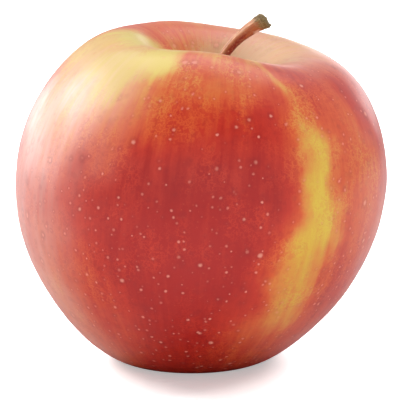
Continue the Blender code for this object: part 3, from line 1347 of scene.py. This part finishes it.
    def _tree(self, band_group: bpy.types.NodeTree, sizes: dict[str, Any]) -> bpy.types.NodeTree:
        """The whole fruit: its bands joined, lobed, leant over and made gently uneven.

        Args:
            band_group: The group that turns one bend of the outline.
            sizes: A value for each named input.

        Returns:
            The tree, whose named inputs are the fruit's sizes.
        """
        graph = Graph.group("Grown Fruit", TreeKind.GEOMETRY, sockets_for(sizes), {"Fruit": Socket.SHAPE})
        given = graph.given

        join = graph.node("GeometryNodeJoinGeometry", {})
        reached: Value = -(given["Socket Radius"] + given["Socket Depth"])
        for (start, start_handle, end_handle, end), rings in zip(self._bands(graph), self.rings):
            band = graph.place_group(band_group, {
                "Start": start, "Start Handle": start_handle, "End Handle": end_handle, "End": end,
                "Rings": rings, "Steps": given["Steps"], "Distance": reached,
            })
            graph.feed(join.inputs[0], band["Band"])
            reached = band["Distance"]
        joined = {"Geometry": Term(graph, join.outputs[0]), "Distance": self.weld}
        shell = graph.out("GeometryNodeMergeByDistance", 0, joined)
        along = read(graph, "along")
        flat = graph.vector(read(graph, "turn"), along / reached, 0.0)
        shell = store(graph, shell, "OFBake", flat, domain="CORNER", data_type="FLOAT2")
        position = graph.out("GeometryNodeInputPosition", 0, {})
        shell = store(graph, shell, "rest", position, data_type="FLOAT_VECTOR")
        shell = placed(graph, shell, Position=self._grown(graph, position))
        shell = placed(graph, shell, Offset=self._uneven(graph))
        graph.give({"Fruit": finished(graph, shell)})
        return graph.tree

    def _grown(self, graph: Graph, position: Term) -> Term:
        """Move a turned point to its grown place.

        Args:
            graph: The fruit's graph.
            position: The point as it was turned.

        Returns:
            The point with the socket's slant, the crown's lobes and the lean.
        """
        given = graph.given
        x, y, z = graph.parts(position)
        radius = graph.math("SQRT", x * x + y * y)
        azimuth = graph.math("ARCTAN2", y, x)
        floor = given["Height"] - given["Cavity Depth"]
        eye_roof = given["Basin Depth"] + given["Eye Depth"]
        in_socket = graph.math("LESS_THAN", radius, given["Socket Radius"] + self.socket_margin)
        above_eye = graph.math("GREATER_THAN", z, eye_roof + self.eye_margin)
        x = x + in_socket * above_eye * (z - floor) * math.tan(self.socket_slant)

        rise: Value = 0.0
        for lobe_azimuth, lobe_height in self.lobes:
            facing = graph.math("COSINE", azimuth - math.radians(lobe_azimuth))
            rise = rise + graph.math("EXPONENT", (facing - 1.0) * self.lobe_sharpness) * lobe_height
        aside = (radius - given["Crown Radius"]) / (given["Crown Radius"] * self.lobe_reach)
        near_crown = graph.math("EXPONENT", -(aside * aside))
        z = z + rise * near_crown * graph.ease(z / given["Height"], self.lobe_start, 1.0)

        basin = 1.0 - graph.ease(radius, given["Eye Radius"] * 2.0, given["Ring Radius"] * 0.82)
        basin = basin * graph.ease(radius, given["Eye Radius"], given["Eye Radius"] * 2.0)
        basin = basin * graph.math("LESS_THAN", z, given["Basin Depth"] * 1.05)
        z = z + basin * graph.math("COSINE", azimuth * float(self.furrows)) * given["Furrow Depth"]

        share = z / given["Height"]
        angle = graph.ease(share, 0.0, self.lean_start) * self.lean_angle + share * self.bend_angle
        sine, cosine = graph.math("SINE", angle), graph.math("COSINE", angle)
        return graph.vector(x * cosine + z * sine, y, z * cosine - x * sine)

    def _uneven(self, graph: Graph) -> Term:
        """A gentle swell along the normal that leaves the resting ring flat.

        Args:
            graph: The fruit's graph.

        Returns:
            The offset.
        """
        given = graph.given
        position = graph.out("GeometryNodeInputPosition", 0, {})
        normal = graph.out("GeometryNodeInputNormal", 0, {})
        shift = graph.vector(given["Seed"], given["Seed"] * 3.0, 0.0)
        spot = graph.moved(graph.scaled(position, 1.0 / MM), shift)
        swell = (graph.noise(spot, 0.055, 2.0) - 0.5) * 2.0 + (graph.noise(spot, 0.16, 1.0) - 0.5) * 0.5
        _, _, z = graph.parts(position)
        free = graph.ease(z, *self.free_heights)
        return graph.scaled(normal, swell * free * given["Undulation"] * 2.0)


@dataclass
class SheetBuilder:
    """A mesh made row by row, with its own map and the attributes that its finish reads."""

    builder: bmesh.types.BMesh = field(default_factory=bmesh.new)
    rows: list[list[bmesh.types.BMVert]] = field(default_factory=list)
    closed: bool = False
    wall_height: float = 0.8
    fan_height: float = 0.06

    def __post_init__(self) -> None:
        """Make the layers."""
        self.share = self.builder.verts.layers.float.new("share")
        self.flank = self.builder.verts.layers.float.new("flank")
        self.chart = self.builder.loops.layers.uv.new("OFBake")

    def add_row(self, points: Sequence[Vector], share: float, flanks: Sequence[float]) -> None:
        """Add a row of points and join it to the row before.

        Args:
            points: The row's points.
            share: How far along the piece the row lies, 0 to 1.
            flanks: Where across the piece each point lies.
        """
        row = []
        for point, flank in zip(points, flanks):
            vertex = self.builder.verts.new(point)
            vertex[self.share] = share
            vertex[self.flank] = flank
            row.append(vertex)
        if self.rows:
            self._join(self.rows[-1], row)
        self.rows.append(row)

    def _join(self, lower: list[bmesh.types.BMVert], upper: list[bmesh.types.BMVert]) -> None:
        """Make the faces between two rows, and map them.

        Args:
            lower: The earlier row.
            upper: The later row.
        """
        count = len(lower)
        for index in range(count if self.closed else count - 1):
            following = (index + 1) % count
            corners = (lower[index], lower[following], upper[following], upper[index])
            face = self.builder.faces.new(corners)
            face.smooth = True
            for loop, across in zip(face.loops, (index, index + 1, index + 1, index)):
                up = min(loop.vert[self.share], 1.0) * self.wall_height
                loop[self.chart].uv = (across / count, up)

    def cap(self, row: int, point: Vector, share: float, level: float) -> None:
        """Close an end with a fan of triangles.

        Args:
            row: The number of the row to close.
            point: The fan's middle.
            share: The middle's share along the piece.
            level: Where on the map the fan is laid.
        """
        tip = self.builder.verts.new(point)
        tip[self.share] = share
        ring = self.rows[row]
        for index, vertex in enumerate(ring):
            following = ring[(index + 1) % len(ring)]
            face = self.builder.faces.new((vertex, following, tip))
            face.smooth = True
            places = ((index, 0.0), (index + 1, 0.0), (index + 0.5, self.fan_height))
            for loop, (across, up) in zip(face.loops, places):
                loop[self.chart].uv = (across / len(ring), level + up)

    def finish(self, name: str, material: bpy.types.Material) -> bpy.types.Mesh:
        """Write the mesh with its faces outwards.

        Args:
            name: The mesh's name.
            material: Its material.

        Returns:
            The mesh.
        """
        bmesh.ops.recalc_face_normals(self.builder, faces=self.builder.faces)
        mesh = bpy.data.meshes.new(name)
        self.builder.to_mesh(mesh)
        self.builder.free()
        mesh.materials.append(material)
        return mesh


@dataclass(frozen=True)
class PathPoint:
    """A point of the stem's centre line, with the line's slant towards +X there."""

    place: Vector
    slant: float

    @property
    def ahead(self) -> Vector:
        """The direction that the line runs in."""
        return Vector((math.sin(self.slant), 0.0, math.cos(self.slant)))

    @property
    def aside(self) -> Vector:
        """The direction square to it, on its right-hand, lower side."""
        return Vector((math.cos(self.slant), 0.0, -math.sin(self.slant)))


@dataclass
class Stem:
    """The woody stem, ridged along its length, with a flared and ragged broken tip."""

    fruit: Fruit
    length: float = 25.6 * MM
    foot_radius: float = 1.2 * MM
    waist_radius: float = 1.06 * MM
    tip_radius: float = 1.75 * MM
    waist_share: float = 0.5
    foot_angle: float = math.radians(-6.0)
    tip_angle: float = math.radians(60.0)
    gap: float = 0.3 * MM
    rows: int = 96
    sides: int = 48
    ridge: float = 0.07
    swelling: float = 0.03
    swelling_start: float = 0.35
    swelling_run: float = 0.45
    tip_start: float = 0.82
    spike_length: float = 0.6 * MM
    spike_flank: float = -0.35
    spike_width: float = 0.24
    torn_slant: float = 0.35 * MM
    torn_back: float = 0.45 * MM
    torn_depth: float = 0.55 * MM
    break_rings: tuple[float, ...] = (0.88, 0.72, 0.5, 0.25)
    fan_levels: tuple[float, float] = (0.82, 0.92)

    def build(self, material: bpy.types.Material) -> bpy.types.Object:
        """Build the stem.

        Args:
            material: The bark.

        Returns:
            The stem's piece.
        """
        sheet = SheetBuilder(closed=True)
        flanks = [math.tau * side / self.sides for side in range(self.sides)]
        path = self._path()
        for row, centre in enumerate(path):
            share = row / self.rows
            sheet.add_row([self._skin(centre, share, flank) for flank in flanks], share, flanks)
        sheet.cap(0, self.fruit.settle(path[0].place), 0.0, self.fan_levels[0])
        for inner in self.break_rings:
            ring = [self._break(path[-1], inner, flank) for flank in flanks]
            sheet.add_row(ring, 1.0 + (1.0 - inner) * 0.1, flanks)
        sheet.cap(-1, self._break(path[-1], 0.0, 0.0), 1.1, self.fan_levels[1])
        mesh = sheet.finish("apple_stem", material)
        return add_piece("apple_stem", mesh, "stem")

    def _path(self) -> list[PathPoint]:
        """Centre line of the stem.

        Returns:
            Points before the fruit leans, straight in the socket, then curving over to +X.
        """
        drop = self.fruit.socket_depth - self.gap - self.foot_radius * abs(math.sin(self.foot_angle))
        place = Vector((-drop * math.tan(self.foot_angle), 0.0, self.fruit.cavity_floor - drop))
        straight = self.fruit.socket_depth / self.length
        path = [PathPoint(place, self.foot_angle)]
        for row in range(1, self.rows + 1):
            share = ((row - 0.5) / self.rows - straight) / (1.0 - straight)
            slant = self.foot_angle + (self.tip_angle - self.foot_angle) * max(share, 0.0)
            here = PathPoint(path[-1].place, slant)
            path.append(PathPoint(here.place + here.ahead * (self.length / self.rows), slant))
        return path

    def _radius(self, share: float) -> float:
        """Radius at a share of the length from the foot to the broken tip.

        Args:
            share: The share.

        Returns:
            The radius before ridges.
        """
        if share < self.waist_share:
            narrowing = smooth_step(share / self.waist_share)
            return self.foot_radius + (self.waist_radius - self.foot_radius) * narrowing
        flare = (share - self.waist_share) / (1.0 - self.waist_share)
        return self.waist_radius + (self.tip_radius - self.waist_radius) * flare * flare

    def _ridges(self, share: float, flank: float) -> float:
        """How the bark's ridges change the radius, as a share of it.

        Args:
            share: The share of the length.
            flank: The angle round the stem.

        Returns:
            The change, about 0.
        """
        round_x, round_y = math.cos(flank), math.sin(flank)
        broad = noise.noise(Vector((round_x * 1.6, round_y * 1.6, share * 2.2)))
        fine = noise.noise(Vector((round_x * 4.5 + 9.0, round_y * 4.5, share * 6.0)))
        knots = noise.noise(Vector((round_x * 3.0, round_y * 3.0 + 5.0, share * 22.0)))
        return self.ridge * (broad * 1.5 + fine * 0.9 + knots * 0.45 * (0.4 + share))

    def _spot(self, centre: PathPoint, out: float, flank: float, ahead: float) -> Vector:
        """A point beside the centre line, in the CAD frame.

        Args:
            centre: The centre line's point.
            out: Distance from the line.
            flank: Angle round the line, 0 on its right-hand, lower side.
            ahead: Distance further along the line.

        Returns:
            The point.
        """
        across = centre.aside * math.cos(flank) + Vector((0.0, -1.0, 0.0)) * math.sin(flank)
        return self.fruit.settle(centre.place + across * out + centre.ahead * ahead)

    def _ragged(self, flank: float) -> float:
        """How far the broken rim stands ahead of the path's end.

        Args:
            flank: The angle round the stem.

        Returns:
            The distance, with a spike on the lower side.
        """
        tear = noise.noise(Vector((math.cos(flank) * 2.4, math.sin(flank) * 2.4, 3.0)))
        aside = (flank - self.spike_flank + math.pi) % math.tau - math.pi
        spike = self.spike_length * math.exp(-((aside / self.spike_width) ** 2))
        return tear * self.torn_depth + self.torn_slant * math.cos(flank) - self.torn_back + spike

    def _skin(self, centre: PathPoint, share: float, flank: float) -> Vector:
        """A point of the bark.

        Args:
            centre: The centre line's point.
            share: The share of the length.
            flank: The angle round the stem.

        Returns:
            The point.
        """
        near_tip = smooth_step((share - self.tip_start) / (1.0 - self.tip_start))
        swollen = smooth_step((share - self.swelling_start) / self.swelling_run)
        out = self._radius(share) * (1.0 + self._ridges(share, flank))
        out *= 1.0 + self.swelling * swollen * (1.0 - 0.5 * near_tip)
        return self._spot(centre, out, flank, self._ragged(flank) * near_tip**2)

    def _break(self, centre: PathPoint, inner: float, flank: float) -> Vector:
        """A point of the broken end.

        Args:
            centre: The path's last point.
            inner: Share of the tip's radius, 1 at the rim.
            flank: The angle round the stem.

        Returns:
            The point, a little sunk and torn.
        """
        out = self._radius(1.0) * inner * (1.0 + self._ridges(1.0, flank) * inner)
        tear = noise.noise(Vector((math.cos(flank) * inner * 3.0, math.sin(flank) * inner * 3.0, 8.0)))
        ahead = self._ragged(flank) * inner**3 + 0.15 * MM * (1.0 - inner**2) + tear * 0.3 * MM
        return self._spot(centre, out, flank, ahead)


@dataclass
class Sepals:
    """The five sepals, curled back and dried in the eye basin."""

    fruit: Fruit
    count: int = 5
    length: float = 5.8 * MM
    width: float = 3.0 * MM
    thickness: float = 0.3 * MM
    foot_angle: float = math.radians(-4.0)
    tip_angle: float = math.radians(108.0)
    curl: float = 1.6
    cup: float = 0.25
    point: float = 0.12
    crinkle: float = 0.22 * MM
    rib: float = 0.10 * MM
    rib_width: float = 0.16
    clearance: float = 0.3 * MM
    rows: int = 22
    columns: int = 12

    def build(self, material: bpy.types.Material) -> list[bpy.types.Object]:
        """Build the sepals.

        Args:
            material: The dried leaf.

        Returns:
            The five pieces.
        """
        return [self._sepal(index, material) for index in range(self.count)]

    def _sepal(self, index: int, material: bpy.types.Material) -> bpy.types.Object:
        """Build one sepal as a veined, crinkled sheet with a thickness.

        Args:
            index: Its number from 0.
            material: The dried leaf.

        Returns:
            The piece.
        """
        sheet = SheetBuilder()
        flanks = [2.0 * column / self.columns - 1.0 for column in range(self.columns + 1)]
        across, drop = 0.0, 0.0
        step = self.length / self.rows
        for row in range(self.rows + 1):
            share = row / self.rows
            swelling = (0.82 + 0.5 * share) * (1.0 - share**2.2)
            half = self.width * (swelling / 2.0 + self.point * share)
            torn = 1.0 + 0.12 * noise.noise(Vector((share * 9.0, index * 4.0, 1.0)))
            half *= max(torn * (1.0 - 0.75 * share**6), 0.05)
            points = [self._spot(index, across, drop, half, share, flank) for flank in flanks]
            sheet.add_row(points, share, flanks)
            along = (row + 0.5) / self.rows
            angle = self.foot_angle + (self.tip_angle - self.foot_angle) * along**self.curl
            across += math.sin(angle) * step
            drop += math.cos(angle) * step
        name = f"apple_sepal_{index + 1}"
        piece = add_piece(name, sheet.finish(name, material), f"sepal_{index + 1}")
        wall = piece.modifiers.new("Wall", "SOLIDIFY")
        wall.thickness = self.thickness
        wall.offset = 0.0
        rounding = piece.modifiers.new("Rounding", "SUBSURF")
        rounding.levels = rounding.render_levels = 1
        return piece

    def _spot(
        self, index: int, across: float, drop: float, half: float, share: float, flank: float
    ) -> Vector:
        """A point of a sepal's sheet in the CAD frame.

        Args:
            index: The sepal's number.
            across: How far it has spread outwards.
            drop: How far it has come down.
            half: Half its width there.
            share: The share of its length.
            flank: From -1 at one edge to 1 at the other.

        Returns:
            The point.
        """
        crinkle = noise.noise(Vector((share * 5.0, flank * 1.6 + index * 7.0, 2.0))) * self.crinkle
        rib = -self.rib * math.exp(-((flank / self.rib_width) ** 2))
        distance = self.fruit.eye_radius + self.thickness + self.clearance + across
        distance += half * self.cup * flank * flank + (crinkle + rib) * (0.3 + 0.7 * share)
        twist = 0.25 * noise.noise(Vector((index * 3.0, share * 1.5, 6.0))) * share
        place = Vector((
            distance,
            half * flank + twist * half,
            self.fruit.basin_depth - self.thickness / 2.0 - self.clearance * 1.5 - drop + crinkle * share,
        ))
        place.rotate(Matrix.Rotation(math.tau * index / self.count, 3, "Z"))
        return self.fruit.settle(place)


@dataclass
class Stamens:
    """The dried tuft of stamens that stands in the eye, one thread scattered many times."""

    fruit: Fruit
    count: int = 26
    spread: float = 1.15 * MM
    thread_length: float = 3.9 * MM
    thread_radius: float = 0.13 * MM
    head_radius: float = 0.24 * MM
    splay: float = 0.16
    turning: float = math.radians(137.5)
    sides: int = 6
    rings: int = 9
    seed: int = 11

    def build(self, material: bpy.types.Material) -> bpy.types.Object:
        """Build the tuft.

        Args:
            material: The dried threads.

        Returns:
            The tuft's piece.
        """
        sizes = {
            "Count": self.count, "Spread": self.spread, "Thread Length": self.thread_length,
            "Thread Radius": self.thread_radius, "Head Radius": self.head_radius, "Splay": self.splay,
            "Seed": self.seed, "Material": material,
        }
        mesh = evaluate_tree(self._tree(sizes), sizes)
        mesh.name = "apple_stamens"
        top = self.fruit.basin_depth + self.fruit.eye_depth
        for vertex in mesh.vertices:
            vertex.co = self.fruit.settle(Vector((vertex.co.x, vertex.co.y, top - vertex.co.z)))
        turn_outwards(mesh)
        mesh.shade_smooth()
        return add_piece("apple_stamens", mesh, "stamens")

    def _tree(self, sizes: dict[str, Any]) -> bpy.types.NodeTree:
        """Threads scattered on a spiral, each with its own turn, lean and length.

        Args:
            sizes: A value for each named input.

        Returns:
            The tree, whose named inputs are the tuft's sizes.
        """
        inputs, outputs = sockets_for(sizes), {"Tuft": Socket.SHAPE}
        graph = Graph.group("Scattered Threads", TreeKind.GEOMETRY, inputs, outputs)
        given = graph.given
        index = graph.out("GeometryNodeInputIndex", 0, {})
        angle = index * self.turning
        reach = graph.math("SQRT", (index + 0.5) / given["Count"]) * given["Spread"]
        x, y = reach * graph.math("COSINE", angle), reach * graph.math("SINE", angle)
        feeds = {"Count": given["Count"], "Position": graph.vector(x, y, 0.0)}
        points = graph.out("GeometryNodePoints", 0, feeds)

        def chance(low: Value, high: Value, salt: int) -> Term:
            """A number drawn for each thread."""
            feeds = {2: low, 3: high, "Seed": given["Seed"] + salt}
            return graph.out("FunctionNodeRandomValue", 1, feeds, data_type="FLOAT")

        lean = reach / given["Spread"] * given["Splay"] + chance(-0.1, 0.1, 1)
        turn = graph.vector(0.0, lean, angle + chance(-0.5, 0.5, 2))
        size = graph.vector(chance(0.8, 1.25, 3), chance(0.8, 1.25, 4), chance(0.78, 1.0, 5))
        tuft = graph.out("GeometryNodeInstanceOnPoints", 0, {
            "Points": points, "Instance": self._thread(graph), "Rotation": turn, "Scale": size,
        })
        graph.give({"Tuft": finished(graph, tuft)})
        return graph.tree

    def _thread(self, graph: Graph) -> Term:
        """One bent, tapering thread with a swollen head.

        Args:
            graph: The tuft's graph.

        Returns:
            The thread, standing on its foot.
        """
        given = graph.given
        rod = graph.out("GeometryNodeMeshCylinder", 0, {
            "Vertices": self.sides, "Side Segments": self.rings,
            "Radius": given["Thread Radius"], "Depth": given["Thread Length"],
        })
        x, y, z = graph.parts(graph.out("GeometryNodeInputPosition", 0, {}))
        share = z / given["Thread Length"] + 0.5
        rod = store(graph, rod, "share", share)
        share = read(graph, "share")
        swell = graph.ease(share, 0.74, 0.84) * (1.0 - graph.ease(share, 0.93, 1.05))
        head = given["Head Radius"] / given["Thread Radius"] - 1.0
        girth = 1.0 - share * 0.3 + swell * head
        bend = share * share * given["Thread Length"] * 0.12
        place = graph.vector(x * girth + bend, y * girth, share * given["Thread Length"])
        return placed(graph, rod, Position=place)


# --------------------------------------------------------------------------------------
# Studio
# --------------------------------------------------------------------------------------


class Reach(Enum):
    """What a lamp shines on."""

    ALL = "all"
    FRUIT = "fruit"
    FLOOR = "floor"


@dataclass(frozen=True)
class Softbox:
    """A soft lamp that faces the fruit.

    Azimuth and elevation are in degrees seen from what it faces, 0 on the camera's side and
    growing towards +X. Radiance is the brightness of its face. A mirrored lamp shows in
    reflections, and one with spread lights matt surfaces. A lamp with an aim faces that
    point of the floor instead of the fruit.
    """

    name: str
    azimuth: float
    elevation: float
    distance: float
    width: float
    height: float
    radiance: float
    warmth: tuple[float, float, float] = (1.0, 1.0, 1.0)
    mirrored: bool = True
    spread: bool = True
    reach: Reach = Reach.ALL
    aim: tuple[float, float] | None = None

    def build(self, target: Vector, receivers: dict[Reach, bpy.types.Collection]) -> bpy.types.Object:
        """Set the lamp up.

        Args:
            target: The point that it faces.
            receivers: What a lamp shines on when it doesn't shine on everything.

        Returns:
            The lamp.
        """
        lamp = bpy.data.lights.new(self.name, "AREA")
        lamp.shape = "RECTANGLE"
        lamp.size, lamp.size_y = self.width, self.height
        lamp.energy = self.radiance * math.pi * self.width * self.height
        lamp.color = self.warmth
        holder = bpy.data.objects.new(self.name, lamp)
        if self.aim is not None:
            target = Vector((*self.aim, 0.0))
        azimuth, elevation = math.radians(self.azimuth), math.radians(self.elevation)
        flat = math.cos(elevation)
        away = Vector((math.sin(azimuth) * flat, -math.cos(azimuth) * flat, math.sin(elevation)))
        holder.location = target + away * self.distance
        holder.rotation_euler = away.to_track_quat("Z", "Y").to_euler()
        holder.visible_camera = False
        holder.visible_glossy = self.mirrored
        holder.visible_diffuse = self.spread
        if self.reach in receivers:
            holder.light_linking.receiver_collection = receivers[self.reach]
        bpy.context.scene.collection.objects.link(holder)
        return holder


@dataclass
class Studio:
    """Pale floor, soft lamps, even surroundings and the camera."""

    target_height: float = 34.125 * MM
    camera_elevation: float = 12.0
    camera_distance: float = 750.0 * MM
    camera_side: float = -0.197 * MM
    camera_rise: float = 0.668 * MM
    lens: float = 312.25
    sensor: float = 36.0
    floor_radius: float = 9.0
    floor_sides: int = 128
    clip: tuple[float, float] = (0.05, 50.0)
    front_brightness: float = 0.03
    back_brightness: float = 0.84
    front_spread: float = 0.65
    backdrop: Colour = (1.0, 1.0, 1.0, 1.0)
    softboxes: tuple[Softbox, ...] = (
        Softbox("key", -119.0, 29.0, 0.62, 0.46, 0.28, 4.2, (1.0, 0.985, 0.95), mirrored=False),
        Softbox("glare", -112.0, 31.0, 0.60, 0.40, 0.22, 6.6, (1.0, 0.99, 0.97), spread=False),
        Softbox("left_wall", -127.0, -8.0, 0.9, 1.1, 0.62, 3.6, spread=False),
        Softbox("right_wall", 160.0, 0.0, 0.9, 0.5, 0.34, 2.2, spread=False),
        Softbox("top", 172.0, 66.0, 0.6, 0.6, 0.4, 2.0, reach=Reach.FRUIT),
        Softbox(
            "left_pool", -120.0, 58.0, 0.36, 0.3, 0.2, 17.0,
            mirrored=False, reach=Reach.FLOOR, aim=(-0.15, 0.09),
        ),
        Softbox(
            "right_pool", 118.0, 58.0, 0.36, 0.3, 0.2, 15.0,
            mirrored=False, reach=Reach.FLOOR, aim=(0.12, 0.04),
        ),
        Softbox("fill", 2.0, 6.0, 0.9, 2.7, 0.8, 2.5, mirrored=False, reach=Reach.FRUIT),
        Softbox("left_fill", -76.0, -4.0, 0.9, 0.8, 0.6, 1.25, mirrored=False, reach=Reach.FRUIT),
        Softbox("right_fill", 82.0, 4.0, 0.9, 0.8, 0.6, 1.15, mirrored=False, reach=Reach.FRUIT),
    )

    def build(self, effects: SharedEffects) -> None:
        """Set up the floor, the lamps, the surroundings and the camera.

        Args:
            effects: The shared shader groups.
        """
        target = Vector((0.0, 0.0, self.target_height))
        floor = self._lay_floor(FloorFinish().build(effects))
        receivers = {
            reach: bpy.data.collections.new(f"lit_{reach.value}") for reach in (Reach.FRUIT, Reach.FLOOR)
        }
        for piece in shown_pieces():
            receivers[Reach.FRUIT].objects.link(piece)
        receivers[Reach.FLOOR].objects.link(floor)
        for softbox in self.softboxes:
            softbox.build(target, receivers)
        self._surround()
        self._place_camera(target)
        scene = bpy.context.scene
        scene.view_settings.view_transform = "Standard"
        scene.view_settings.look = "None"
        LOG.info("studio: %d lamps, floor and camera", len(self.softboxes))

    def _lay_floor(self, material: bpy.types.Material) -> bpy.types.Object:
        """Lay a round floor on the resting plane.

        Args:
            material: The floor's finish.

        Returns:
            The floor.
        """
        builder = bmesh.new()
        bmesh.ops.create_circle(
            builder, cap_ends=True, cap_tris=True, segments=self.floor_sides, radius=self.floor_radius
        )
        mesh = bpy.data.meshes.new("floor")
        builder.to_mesh(mesh)
        builder.free()
        mesh.materials.append(material)
        floor = bpy.data.objects.new("floor", mesh)
        bpy.context.scene.collection.objects.link(floor)
        floor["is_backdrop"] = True
        return floor

    def _surround(self) -> None:
        """Even surroundings, dimmer on the camera's side, that look plain to the camera."""
        world = bpy.data.worlds.new("surroundings")
        world.use_nodes = True
        world.node_tree.nodes.clear()
        graph = Graph(world.node_tree)
        _, backwards, _ = graph.parts(graph.out("ShaderNodeTexCoord", "Generated", {}))
        front = graph.ease(-backwards, 0.0, self.front_spread)
        level = graph.between(front, self.back_brightness, self.front_brightness)
        light = graph.out("ShaderNodeBackground", 0, {"Strength": level})
        plain = graph.out("ShaderNodeBackground", 0, {"Color": self.backdrop})
        seen = graph.out("ShaderNodeLightPath", "Is Camera Ray", {})
        both = graph.out("ShaderNodeMixShader", 0, {0: seen, 1: light, 2: plain})
        graph.node("ShaderNodeOutputWorld", {"Surface": both})
        bpy.context.scene.world = world

    def _place_camera(self, target: Vector) -> None:
        """Put the camera a little above the fruit's middle, looking down at it.

        Args:
            target: The point that it stands over against.
        """
        elevation = math.radians(self.camera_elevation)
        forward = Vector((0.0, math.cos(elevation), -math.sin(elevation)))
        up = Vector((0.0, math.sin(elevation), math.cos(elevation)))
        lens = bpy.data.cameras.new("camera")
        lens.lens, lens.sensor_width = self.lens, self.sensor
        lens.clip_start, lens.clip_end = self.clip
        camera = bpy.data.objects.new("camera", lens)
        aside = Vector((self.camera_side, 0.0, 0.0)) + up * self.camera_rise
        camera.location = target + aside - forward * self.camera_distance
        camera.rotation_euler = (math.radians(90.0) - elevation, 0.0, 0.0)
        bpy.context.scene.collection.objects.link(camera)
        bpy.context.scene.camera = camera


def main() -> None:
    """Build the apple and its studio, piece by piece."""
    logging.basicConfig(level=logging.INFO, format="%(name)s %(message)s")
    effects = SharedEffects()
    fruit = Fruit()
    fruit.build(SkinFinish().build(effects))
    LOG.info("the turning axis stands %.3f mm from the middle", fruit.middle.x / MM)
    Stem(fruit).build(BarkFinish().build(effects))
    Sepals(fruit).build(DriedLeafFinish().build(effects))
    Stamens(fruit).build(StamenFinish().build(effects))
    Studio().build(effects)


if __name__ == "__main__":
    main()
